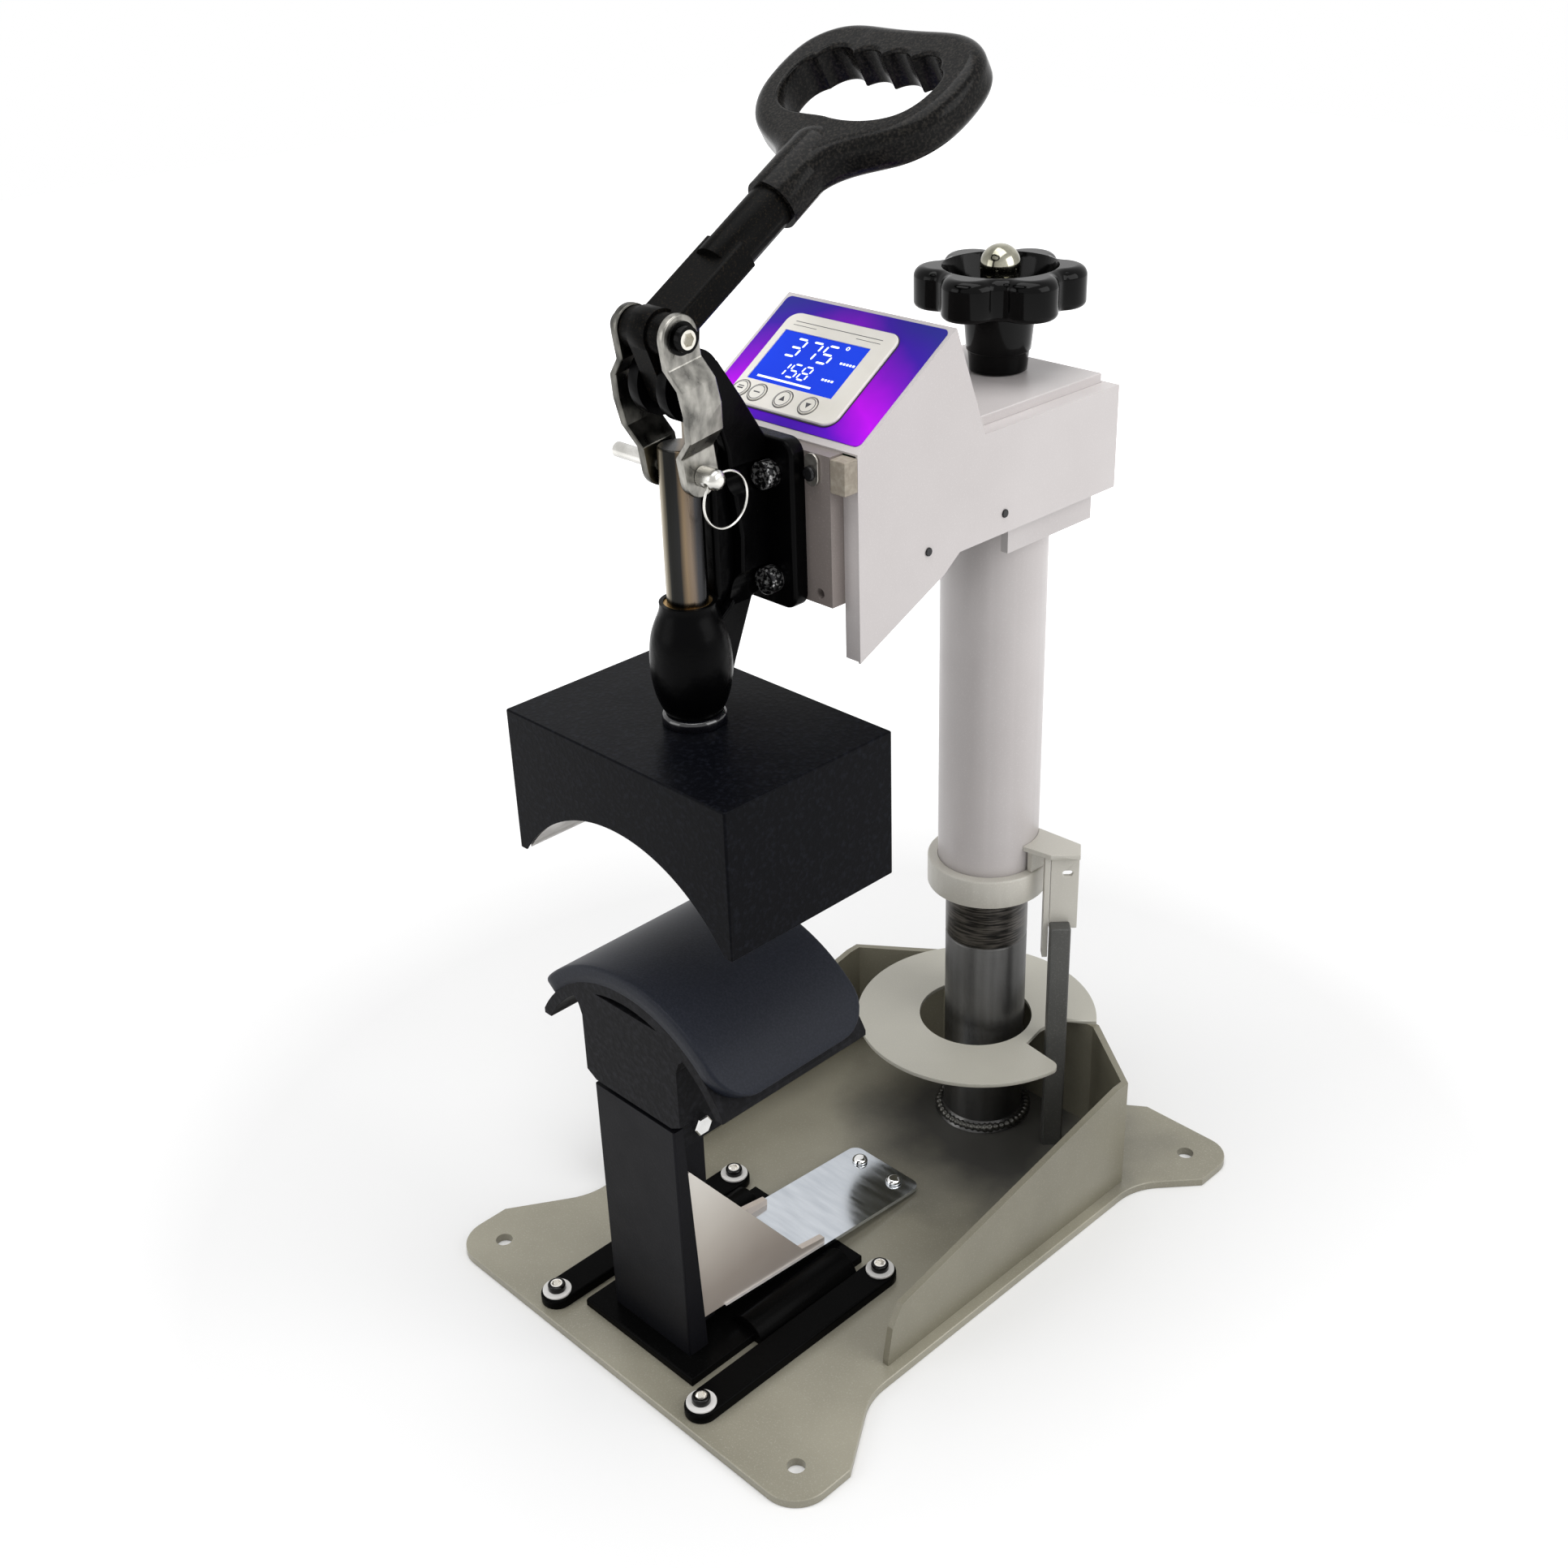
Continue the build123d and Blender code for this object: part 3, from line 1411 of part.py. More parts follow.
# ---------------------------------------------------------------- ram and heater
stem_r = 8.0
stem_bottom = heater_top - 15.0
with BuildPart() as ram_rod:
    add(upright(0, ram_y, heater_top, ram_top, ram_r))
    chamfer(ram_rod.edges().group_by(Axis.Z)[-1], 1.0)
    add(upright(0, ram_y, stem_bottom, heater_top + 1, stem_r))
    add(across(ram_y, ram_pin_z, -ram_r - 1, ram_r + 1, quick_pin_r + run_gap), mode=Mode.SUBTRACT)

ram_rod.part.label = "ram_rod"
export_step(ram_rod.part, "parts/ram_rod.step")

with BuildPart() as ram_locknut:
    add(upright(0, ram_y, heater_top, heater_top + locknut_h, locknut_r))
    fillet(ram_locknut.edges().group_by(Axis.Z)[-1], 3)
    add(upright(0, ram_y, heater_top - 1, heater_top + locknut_h + 1, ram_r + fit_gap), mode=Mode.SUBTRACT)

ram_locknut.part.label = "ram_locknut"
export_step(ram_locknut.part, "parts/ram_locknut.step")

heater_low = heater_top - heater_h
heater_front_y = ram_y - heater_d / 2
heater_rear_y = ram_y + heater_d / 2
arch_r = platen_arc_r + 0.6
with BuildPart() as heater_cover:
    add(
        block(
            -heater_w / 2, heater_w / 2,
            heater_front_y, heater_rear_y,
            heater_low, heater_top,
        )
    )
    fillet(heater_cover.edges().filter_by(Axis.Z), 1.5)
    fillet(heater_cover.faces().sort_by(Axis.Z)[-1].edges(), 1.2)
    add(
        block(
            -heater_w / 2 + sheet_t, heater_w / 2 - sheet_t,
            heater_front_y + sheet_t, heater_rear_y - sheet_t,
            heater_low - 1, heater_top - sheet_t,
        ),
        mode=Mode.SUBTRACT,
    )
    add(forward(0, heater_arc_z, heater_front_y - 1, heater_rear_y + 1, arch_r), mode=Mode.SUBTRACT)
    add(upright(0, ram_y, heater_top - 5, heater_top + 1, stem_r + fit_gap), mode=Mode.SUBTRACT)

heater_cover.part.label = "heater_cover"
export_step(heater_cover.part, "parts/heater_cover.step")

mount_t = 8.0
mount_top = heater_top - sheet_t
standoff_x = 42.0
standoff_y = 38.0
standoff_r = 6.0
heater_back_r = platen_arc_r + 0.6 + 20
back_z = heater_arc_z + sqrt(heater_back_r**2 - (standoff_x - standoff_r) ** 2) - 6
with BuildPart() as heater_mount:
    add(block(-56, 56, ram_y - 50, ram_y + 50, mount_top - mount_t, mount_top))
    add(upright(0, ram_y, mount_top - mount_t - 1, mount_top + 1, stem_r + fit_gap), mode=Mode.SUBTRACT)
    for x in (-standoff_x, standoff_x):
        for y in (ram_y - standoff_y, ram_y + standoff_y):
            add(upright(x, y, back_z, mount_top - mount_t, standoff_r))

heater_mount.part.label = "heater_mount"
export_step(heater_mount.part, "parts/heater_mount.step")

platen_half_w = heater_w / 2 - sheet_t - 6
platen_half_d = heater_d / 2 - sheet_t - 2
rod_bore_r = 4.8
heater_rod_r = rod_bore_r + 10 + platen_arc_r
with BuildPart() as heater_platen:
    with BuildSketch(Plane.XZ.offset(-(ram_y - platen_half_d))):
        with Locations((0, heater_arc_z)):
            Circle(heater_back_r)
            Circle(arch_r, mode=Mode.SUBTRACT)
        with Locations((0, heater_low + 1)):
            Rectangle(2 * platen_half_w, 200, align=(Align.CENTER, Align.MIN), mode=Mode.INTERSECT)
    extrude(amount=-2 * platen_half_d)
    for x in (-standoff_x, standoff_x):
        for y in (ram_y - standoff_y, ram_y + standoff_y):
            add(upright(x, y, back_z, back_z + 60, standoff_r + fit_gap), mode=Mode.SUBTRACT)
    for angle in (-36, -12, 12, 36):
        x = (arch_r + 9) * sin(radians(angle))
        z = heater_arc_z + (arch_r + 9) * cos(radians(angle))
        add(
            forward(x, z, ram_y - platen_half_d + 6, ram_y + platen_half_d + 1, rod_bore_r + fit_gap),
            mode=Mode.SUBTRACT,
        )

heater_platen.part.label = "heater_platen"
export_step(heater_platen.part, "parts/heater_platen.step")

with BuildPart() as heating_rods:
    for angle in (-36, -12, 12, 36):
        x = (arch_r + 9) * sin(radians(angle))
        z = heater_arc_z + (arch_r + 9) * cos(radians(angle))
        add(forward(x, z, ram_y - platen_half_d + 6 + fit_gap, ram_y + platen_half_d, rod_bore_r))

heating_rods.part.label = "heating_rods"
export_step(heating_rods.part, "parts/heating_rods.step")

blanket_t = 7.0
with BuildPart() as insulation_blanket:
    with BuildSketch(Plane.XZ.offset(-(ram_y - 60))):
        with Locations((0, heater_arc_z)):
            Circle(heater_back_r + fit_gap + blanket_t)
            Circle(heater_back_r + fit_gap, mode=Mode.SUBTRACT)
        with Locations((0, heater_low + 30)):
            Rectangle(172, 200, align=(Align.CENTER, Align.MIN), mode=Mode.INTERSECT)
    extrude(amount=-120)
    for x in (-standoff_x, standoff_x):
        for y in (ram_y - standoff_y, ram_y + standoff_y):
            add(upright(x, y, heater_low, heater_top, standoff_r + 1), mode=Mode.SUBTRACT)
    add(across(ram_y + 20, heater_arc_z + heater_back_r + 4, -12, 12, 8), mode=Mode.SUBTRACT)

insulation_blanket.part.label = "insulation_blanket"
export_step(insulation_blanket.part, "parts/insulation_blanket.step")

with BuildPart() as thermostat:
    add(upright(0, ram_y + 20, heater_arc_z + heater_back_r - 0.4, heater_arc_z + heater_back_r + 7, 7))
    add(block(-9, 9, ram_y + 18, ram_y + 22, heater_arc_z + heater_back_r + 5, heater_arc_z + heater_back_r + 6.5))
    add(forward(0, heater_arc_z, ram_y, ram_y + 40, heater_back_r + fit_gap), mode=Mode.SUBTRACT)

thermostat.part.label = "thermostat"
export_step(thermostat.part, "parts/thermostat.step")

# ----------------------------------------------------------------- toggle links
link_tilt = degrees(atan2(-crank_y, wrist_z - ram_pin_z))
link_dir = (0, -sin(radians(link_tilt)), cos(radians(link_tilt)))
link_face = Plane(origin=(0, ram_y, ram_pin_z), x_dir=link_dir, z_dir=(1, 0, 0))
link_edge = Plane(origin=(0, ram_y, ram_pin_z), x_dir=link_dir, z_dir=(0, -link_dir[2], link_dir[1]))
eye_r = link_w / 2
with BuildPart() as toggle_links:
    for side in (-1, 1):
        low = side * link_low_x
        high = side * link_high_x
        bow = side * (link_high_x + link_bow)
        skin = side * link_t
        inner_line = [
            (-eye_r - 1, low),
            (15, low),
            (27, bow - side * 1),
            (43, bow + side * 1.5),
            (58, bow),
            (69, high),
            (link_len + eye_r + 1, high),
        ]
        outer_line = [(u, x + skin) for u, x in reversed(inner_line)]
        with BuildPart(mode=Mode.PRIVATE) as strap:
            with BuildSketch(link_edge.offset(-30)):
                with BuildLine():
                    Polyline(*[(u, -x) for u, x in inner_line + outer_line], close=True)
                make_face()
            extrude(amount=60)
            with BuildSketch(link_face.offset(-60)):
                with Locations((0, 0), (link_len, 0)):
                    Circle(eye_r)
                with Locations((link_len / 2, 0)):
                    Rectangle(link_len, link_w)
            extrude(amount=120, mode=Mode.INTERSECT)
        add(strap.part)
    add(across(ram_y, ram_pin_z, -60, 60, quick_pin_r + run_gap), mode=Mode.SUBTRACT)
    add(across(wrist_y, wrist_z, -60, 60, bolt_r + fit_gap), mode=Mode.SUBTRACT)

toggle_links.part.label = "toggle_links"
export_step(toggle_links.part, "parts/toggle_links.step")

link_out_x = link_high_x + link_t
with BuildPart() as link_bolts:
    for side in (-1, 1):
        shank = sorted((side * (link_high_x + 0.1), side * (link_out_x + 1.6)))
        ring = sorted((side * link_out_x, side * (link_out_x + 1.6)))
        head = sorted((side * (link_out_x + 1.6), side * (link_out_x + 6.6)))
        add(across(wrist_y, wrist_z, shank[0], shank[1], bolt_r))
        add(across(wrist_y, wrist_z, ring[0], ring[1], bolt_r + 3.5))
        add(across(wrist_y, wrist_z, head[0], head[1], bolt_r + 1.4))
        with BuildSketch(Plane.YZ.offset(side * (link_out_x + 6.6))):
            with Locations((wrist_y, wrist_z)):
                RegularPolygon(3.6, 6, major_radius=False)
        extrude(amount=-side * 3.5, mode=Mode.SUBTRACT)

link_bolts.part.label = "link_bolts"
export_step(link_bolts.part, "parts/link_bolts.step")

# Quick-release pin through the links and the ram, with a split ring in its head.
pin_head_x = link_low_x + link_t + free_gap
pin_head_r = 6.4
pin_head_len = 15.0
ring_x = pin_head_x + 9.0
ring_lean = radians(31)
with BuildPart() as quick_pin:
    add(across(ram_y, ram_pin_z, -quick_pin_tail, pin_head_x, quick_pin_r))
    chamfer(quick_pin.edges().group_by(Axis.X)[0], 1.5)
    add(across(ram_y, ram_pin_z, pin_head_x, pin_head_x + pin_head_len, pin_head_r))
    fillet(quick_pin.edges().group_by(Axis.X)[-1], 4.5)
    with BuildSketch(Plane(
        origin=(ring_x, ram_y, ram_pin_z),
        x_dir=(1, 0, 0),
        z_dir=(0, cos(ring_lean), sin(ring_lean)),
    )):
        Circle(2.4)
    extrude(amount=20, both=True, mode=Mode.SUBTRACT)

quick_pin.part.label = "quick_pin"
export_step(quick_pin.part, "parts/quick_pin.step")

ring_centre = (
    ring_x,
    ram_y + ring_r * sin(ring_lean),
    ram_pin_z - ring_r * cos(ring_lean),
)
with BuildPart() as pin_ring:
    with BuildSketch(Plane(origin=ring_centre, x_dir=(0, 1, 0), z_dir=(0, 0, 1))):
        with Locations((ring_r, 0)):
            Circle(ring_wire_r)
    revolve(axis=Axis(ring_centre, (1, 0, 0)))

pin_ring.part.label = "pin_ring"
export_step(pin_ring.part, "parts/pin_ring.step")

# ------------------------------------------------------------ height screw, knob
race_t = 5.0
shoulder_t = 6.0
race_top = arm_top_z - arm_top_t
with BuildPart() as thrust_race:
    add(upright(0, post_y, race_top - race_t, race_top, 20))
    add(upright(0, post_y, race_top - race_t - 1, race_top + 1, screw_r + run_gap), mode=Mode.SUBTRACT)
    fillet(thrust_race.edges().filter_by(GeomType.CIRCLE).sort_by(SortBy.RADIUS)[-2:], 0.8)

thrust_race.part.label = "thrust_race"
export_step(thrust_race.part, "parts/thrust_race.step")

knob_top = knob_bottom + knob_h
boss_top = knob_bottom + 15.0
with BuildPart() as adjusting_screw:
    add(upright(0, post_y, post_top - 60, boss_top + 12, screw_r))
    add(upright(0, post_y, race_top - race_t - shoulder_t, race_top - race_t, 18))
    add(upright(0, post_y, hub_bottom + 8, boss_top + 13, screw_r + 1), mode=Mode.SUBTRACT)
    add(upright(0, post_y, hub_bottom + 8, boss_top + 12, screw_r - 2))

adjusting_screw.part.label = "adjusting_screw"
export_step(adjusting_screw.part, "parts/adjusting_screw.step")

view_turn = -50.5
dome_r = 13.5
with BuildPart() as pressure_knob:
    with BuildSketch(Plane.XY.offset(knob_bottom)) as star:
        with Locations((0, post_y)):
            Circle(knob_r - 5)
            with PolarLocations(knob_r - 12, knob_lobes, start_angle=view_turn + 180 / knob_lobes):
                Circle(knob_lobe_r)
        outer_corners = star.vertices().filter_by(
            lambda v: hypot(v.X, v.Y - post_y) > knob_r - 12
        )
        fillet(outer_corners, 6)
    extrude(amount=knob_h)
    fillet(pressure_knob.edges().group_by(Axis.Z)[-1], 7)
    fillet(pressure_knob.edges().group_by(Axis.Z)[0], 4)
    with BuildSketch(Plane.XZ.offset(-post_y)):
        with BuildLine():
            Polyline(
                (0, boss_top),
                (18, boss_top),
                (20, knob_bottom + 7),
                (33, knob_bottom + 7),
                (39, knob_top + 1),
                (0, knob_top + 1),
                close=True,
            )
        make_face()
    revolve(axis=Axis((0, post_y, 0), (0, 0, 1)), mode=Mode.SUBTRACT)
    with BuildSketch(Plane.XZ.offset(-post_y)):
        with BuildLine():
            Polyline(
                (0, hub_bottom),
                (hub_low_r, hub_bottom),
                (hub_low_r + 1.3, hub_bottom + 13),
                (hub_low_r + 2.3, hub_bottom + 14),
                (hub_high_r, knob_bottom + 2),
                (0, knob_bottom + 2),
                close=True,
            )
        make_face()
    revolve(axis=Axis((0, post_y, 0), (0, 0, 1)))
    add(upright(0, post_y, hub_bottom - 1, knob_top, screw_r - 2 + fit_gap), mode=Mode.SUBTRACT)
    add(upright(0, post_y, hub_bottom - 1, hub_bottom + 8, screw_r + fit_gap), mode=Mode.SUBTRACT)

pressure_knob.part.label = "pressure_knob"
export_step(pressure_knob.part, "parts/pressure_knob.step")

with BuildPart() as knob_nut:
    add(upright(0, post_y, boss_top, boss_top + 1.8, 14.5))
    with BuildSketch(Plane.XY.offset(boss_top + 1.8)):
        with Locations((0, post_y)):
            RegularPolygon(12, 6, major_radius=False)
    extrude(amount=9)
    add(Pos(0, post_y, boss_top + 12) * Sphere(dome_r, mode=Mode.PRIVATE))
    add(upright(0, post_y, boss_top - 20, boss_top, 40), mode=Mode.SUBTRACT)
    add(upright(0, post_y, boss_top - 20, boss_top + 12 + fit_gap, screw_r - 2 + fit_gap), mode=Mode.SUBTRACT)

knob_nut.part.label = "knob_nut"
export_step(knob_nut.part, "parts/knob_nut.step")
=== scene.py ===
import random
from math import cos, pi, radians, sin, sqrt

import bpy
from mathutils import Matrix, Vector


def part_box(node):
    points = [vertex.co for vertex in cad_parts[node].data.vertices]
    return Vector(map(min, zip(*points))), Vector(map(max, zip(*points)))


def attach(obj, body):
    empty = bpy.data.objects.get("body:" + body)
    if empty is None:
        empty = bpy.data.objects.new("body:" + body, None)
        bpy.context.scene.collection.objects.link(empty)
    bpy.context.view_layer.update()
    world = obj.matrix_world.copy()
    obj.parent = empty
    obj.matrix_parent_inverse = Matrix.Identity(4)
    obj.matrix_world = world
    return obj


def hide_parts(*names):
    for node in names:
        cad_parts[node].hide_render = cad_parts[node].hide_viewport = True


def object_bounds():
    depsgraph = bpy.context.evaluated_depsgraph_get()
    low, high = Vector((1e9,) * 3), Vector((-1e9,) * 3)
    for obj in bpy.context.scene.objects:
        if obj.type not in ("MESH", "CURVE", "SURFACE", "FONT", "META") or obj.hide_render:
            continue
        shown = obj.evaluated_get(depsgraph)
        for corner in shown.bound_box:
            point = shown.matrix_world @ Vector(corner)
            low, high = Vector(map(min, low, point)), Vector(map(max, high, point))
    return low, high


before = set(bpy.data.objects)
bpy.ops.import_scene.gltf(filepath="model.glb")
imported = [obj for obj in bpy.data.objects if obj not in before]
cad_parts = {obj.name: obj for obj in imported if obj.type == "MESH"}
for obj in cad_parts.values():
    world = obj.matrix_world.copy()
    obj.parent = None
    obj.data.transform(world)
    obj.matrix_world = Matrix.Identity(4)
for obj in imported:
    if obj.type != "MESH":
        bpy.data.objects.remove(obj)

cad_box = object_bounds()

# ------------------------------------------------------------------------- camera
# The photographer stands at the press's front right corner, a little above the display,
# and looks down at about 28 degrees with a normal lens.
CAMERA_AZIMUTH = radians(46.4556)
CAMERA_PITCH = radians(28.2687)
CAMERA_ROLL = radians(-2.0957)
CAMERA_PLACE = Vector((0.8059, -0.8228, 0.9902))
CAMERA_LENS_MM = 43.70

towards_back = Vector((
    sin(CAMERA_AZIMUTH) * cos(CAMERA_PITCH),
    -cos(CAMERA_AZIMUTH) * cos(CAMERA_PITCH),
    sin(CAMERA_PITCH),
))
level_right = Vector((cos(CAMERA_AZIMUTH), sin(CAMERA_AZIMUTH), 0))
level_up = towards_back.cross(level_right)
picture_right = cos(CAMERA_ROLL) * level_right + sin(CAMERA_ROLL) * level_up
picture_up = cos(CAMERA_ROLL) * level_up - sin(CAMERA_ROLL) * level_right
camera = bpy.data.objects.new("camera", bpy.data.cameras.new("camera"))
camera.data.lens = CAMERA_LENS_MM
camera.data.sensor_width = 36
bpy.context.scene.collection.objects.link(camera)
turned = Matrix((picture_right, picture_up, towards_back)).transposed().to_4x4()
turned.translation = CAMERA_PLACE
camera.matrix_world = turned
bpy.context.scene.camera = camera


# ------------------------------------------------------------------ floor and light
# A seamless pale sweep, a large soft box on the right that lights the white housing,
# a weaker one over the top and a faint one from the left.
FLOOR_SIZE = 9.0
FLOOR_DROP = 0.0004
SKY_STRENGTH = 0.42
FLOOR_FADE_FROM = 0.5
FLOOR_FADE_TO = 1.5
FLOOR_GLOW = 0.06


class Socket:
    """A value in a finish's node tree. Arithmetic on it adds Math nodes."""

    def __init__(self, finish, link):
        self.finish = finish
        self.link = link

    def _math(self, operation, first, second=None):
        values = (first,) if second is None else (first, second)
        return self.finish.node("ShaderNodeMath", {"operation": operation}, values)

    def __add__(self, other):
        return self._math("ADD", self, other)

    def __sub__(self, other):
        return self._math("SUBTRACT", self, other)

    def __mul__(self, other):
        return self._math("MULTIPLY", self, other)

    def __truediv__(self, other):
        return self._math("DIVIDE", self, other)

    def __pow__(self, other):
        return self._math("POWER", self, other)

    def __gt__(self, other):
        return self._math("GREATER_THAN", self, other)

    def __lt__(self, other):
        return self._math("LESS_THAN", self, other)

    def __abs__(self):
        return self._math("ABSOLUTE", self)

    def __rsub__(self, other):
        return self._math("SUBTRACT", other, self)

    __radd__ = __add__
    __rmul__ = __mul__


class Finish:
    """One material: a Principled shader, and the nodes that vary its sockets."""

    def __init__(self, name, colour, roughness, metallic=0.0, **constants):
        self.material = bpy.data.materials.new(name)
        self.material.use_nodes = True
        self.tree = self.material.node_tree
        self.shader = self.tree.nodes["Principled BSDF"]
        self.set("Base Color", (*colour, 1))
        self.set("Roughness", roughness)
        self.set("Metallic", metallic)
        for socket, value in constants.items():
            self.set(socket.replace("_", " ").title().replace("Ior", "IOR"), value)

    def set(self, socket, value):
        self._feed(self.shader.inputs[socket], value)

    def _feed(self, socket, value):
        if isinstance(value, Socket):
            self.tree.links.new(value.link, socket)
        elif isinstance(value, tuple) and len(value) == 3 and socket.type == "RGBA":
            socket.default_value = (*value, 1)
        else:
            socket.default_value = value

    def node(self, kind, settings=None, inputs=(), output=0):
        """Adds a node of a type, with its settings first and then its socket values or links."""
        made = self.tree.nodes.new(kind)
        for key, value in (settings or {}).items():
            if key == "stops":
                for stop, (place, colour) in zip(made.color_ramp.elements, value):
                    stop.position = place
                    stop.color = (*colour, 1)
                for place, colour in value[2:]:
                    made.color_ramp.elements.new(place).color = (*colour, 1)
            else:
                setattr(made, key, value)
        named = inputs.items() if isinstance(inputs, dict) else enumerate(inputs)
        for key, value in named:
            self._feed(made.inputs[key], value)
        return Socket(self, made.outputs[output])

    def place(self, stretch=(1, 1, 1)):
        where = self.node("ShaderNodeTexCoord", output="Object")
        return self.node("ShaderNodeVectorMath", {"operation": "MULTIPLY"}, (where, stretch))

    def noise(self, scale, detail=3.0, stretch=(1, 1, 1)):
        return self.node(
            "ShaderNodeTexNoise", None,
            {"Vector": self.place(stretch), "Scale": scale, "Detail": detail},
        )

    def clamp(self, value, low, high):
        """A value stretched so that low becomes 0 and high becomes 1."""
        return self.node("ShaderNodeMapRange", None, {0: value, 1: low, 2: high})

    def blend(self, mask, first, second):
        return self.node(
            "ShaderNodeMix", {"data_type": "RGBA"}, {0: mask, 6: first, 7: second}, output=2
        )

    def relief(self, height, depth_mm):
        bump = self.node("ShaderNodeBump", None, {"Distance": depth_mm / 1000, "Height": height})
        self.set("Normal", bump)


floor_paint = Finish("floor_paint", (0.84, 0.84, 0.84), 0.9, specular_ior_level=0.1)
seen = 0
for ray in ("Is Camera Ray", "Is Glossy Ray", "Is Transmission Ray"):
    seen = floor_paint.node("ShaderNodeLightPath", output=ray) + seen
from_middle = floor_paint.node("ShaderNodeVectorMath", {"operation": "LENGTH"}, (floor_paint.place(),), "Value")
fade = floor_paint.clamp(from_middle, FLOOR_FADE_FROM, FLOOR_FADE_TO) * (1 - FLOOR_GLOW) + FLOOR_GLOW
floor_paint.set("Emission Color", floor_paint.blend(seen * fade, (0.0, 0.0, 0.0), (1.0, 1.0, 1.0)))
floor_paint.set("Emission Strength", 1.0)

bpy.ops.mesh.primitive_plane_add(size=FLOOR_SIZE, location=(0, 0, cad_box[0][2] - FLOOR_DROP))
floor = bpy.context.object
floor.name = "floor"
floor.data.materials.append(floor_paint.material)

sky = bpy.data.worlds.new("studio")
bpy.context.scene.world = sky
sky.use_nodes = True
sky_nodes = sky.node_tree.nodes
sky_links = sky.node_tree.links
rays = sky_nodes.new("ShaderNodeLightPath")
either = sky_nodes.new("ShaderNodeMath")
either.operation = "MAXIMUM"
any_ray = sky_nodes.new("ShaderNodeMath")
any_ray.operation = "MAXIMUM"
sky_links.new(rays.outputs["Is Camera Ray"], either.inputs[0])
sky_links.new(rays.outputs["Is Transmission Ray"], either.inputs[1])
sky_links.new(either.outputs[0], any_ray.inputs[0])
sky_links.new(rays.outputs["Is Glossy Ray"], any_ray.inputs[1])
level = sky_nodes.new("ShaderNodeMapRange")
level.inputs["To Min"].default_value = SKY_STRENGTH
level.inputs["To Max"].default_value = 1.0
sky_links.new(any_ray.outputs[0], level.inputs["Value"])
sky_links.new(level.outputs["Result"], sky_nodes["Background"].inputs["Strength"])
sky_nodes["Background"].inputs["Color"].default_value = (1, 1, 1, 1)


def soft_box(name, place, target, size, power):
    """A square area lamp at a place, turned to a target."""
    lamp = bpy.data.objects.new(name, bpy.data.lights.new(name, "AREA"))
    lamp.data.size = size
    lamp.data.energy = power
    lamp.location = place
    lamp.rotation_euler = (Vector(target) - Vector(place)).to_track_quat("-Z", "Y").to_euler()
    bpy.context.scene.collection.objects.link(lamp)


soft_box("right_box", (1.7, 0.5, 1.3), (0, 0, 0.4), 1.3, 18)
soft_box("top_box", (0.0, -0.2, 2.3), (0, 0, 0.4), 1.6, 30)
soft_box("front_box", (-0.9, -1.9, 1.1), (0, 0, 0.4), 1.2, 9)
bpy.context.scene.view_settings.view_transform = "Standard"


# --------------------------------------------------------------------- base plate
# A quarter-inch steel plate, cut with four rounded feet and powder coated in a
# grey-olive with a fine metallic fleck. It bolts to the bench through the four feet.
OLIVE_PAINT = (0.345, 0.325, 0.255)
OLIVE_SHADE = (0.255, 0.240, 0.185)
OLIVE_LIGHT = (0.430, 0.410, 0.340)


def dress(finish, *nodes, edge_mm=0.0, segments=2):
    """Gives CAD nodes a finish, and breaks their sharp edges by a small width."""
    for name in nodes:
        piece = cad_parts[name]
        for slot in piece.material_slots:
            slot.link = "OBJECT"
            slot.material = finish.material
        if edge_mm:
            weld = piece.modifiers.new("joined_facets", "WELD")
            weld.merge_threshold = 1e-6
            bevel = piece.modifiers.new("broken_edges", "BEVEL")
            bevel.width = edge_mm / 1000
            bevel.segments = segments
            bevel.limit_method = "ANGLE"
            bevel.angle_limit = radians(38)
            bevel.use_clamp_overlap = True
            bevel.harden_normals = True


def powder_coat(name, colour, shade, light, roughness, grain_mm=0.03, metallic=0.0, gloss=0.5):
    """Sprayed and baked powder: soft cloudy tone, fine fleck and orange-peel relief."""
    coat = Finish(name, colour, roughness, metallic, specular_ior_level=gloss)
    cloud = coat.clamp(coat.noise(7, 4), 0.35, 0.65)
    fleck = coat.clamp(coat.noise(900, 2), 0.56, 0.72)
    toned = coat.blend(cloud, shade, colour)
    coat.set("Base Color", coat.blend(fleck * 0.45, toned, light))
    coat.set("Roughness", coat.noise(45, 3) * 0.18 + (roughness - 0.09))
    coat.relief(coat.noise(420, 2), grain_mm)
    return coat


POST_LOW, POST_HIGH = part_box("post_tube")
POST_Y = (POST_LOW[1] + POST_HIGH[1]) / 2
# Painted shade: the coat darkens towards the foot of the post, with a ragged edge, standing in for the shade under the
# disc and walls.
POST_SHADE_FROM, POST_SHADE_TO = 0.140, 0.055
POST_SHADE_DEPTH = 0.86

olive = powder_coat("olive_powder_coat", OLIVE_PAINT, OLIVE_SHADE, OLIVE_LIGHT, 0.36, 0.02, 0.1)
unshaded_coat = Socket(olive, olive.shader.inputs["Base Color"].links[0].from_socket)
from_post = olive.node("ShaderNodeVectorMath", {"operation": "SUBTRACT"}, (olive.place(), (0.02, POST_Y - 0.01, 0)))
from_post = olive.node("ShaderNodeVectorMath", {"operation": "MULTIPLY"}, (from_post, (1, 1, 0)))
from_post = olive.node("ShaderNodeVectorMath", {"operation": "LENGTH"}, (from_post,), "Value")
painted_post_shade = olive.clamp(from_post + olive.noise(16, 3) * 0.10 - 0.05, POST_SHADE_FROM, POST_SHADE_TO)
olive.set("Base Color", olive.blend(painted_post_shade * POST_SHADE_DEPTH, unshaded_coat, (0.030, 0.031, 0.034)))
dress(olive, "base_plate")
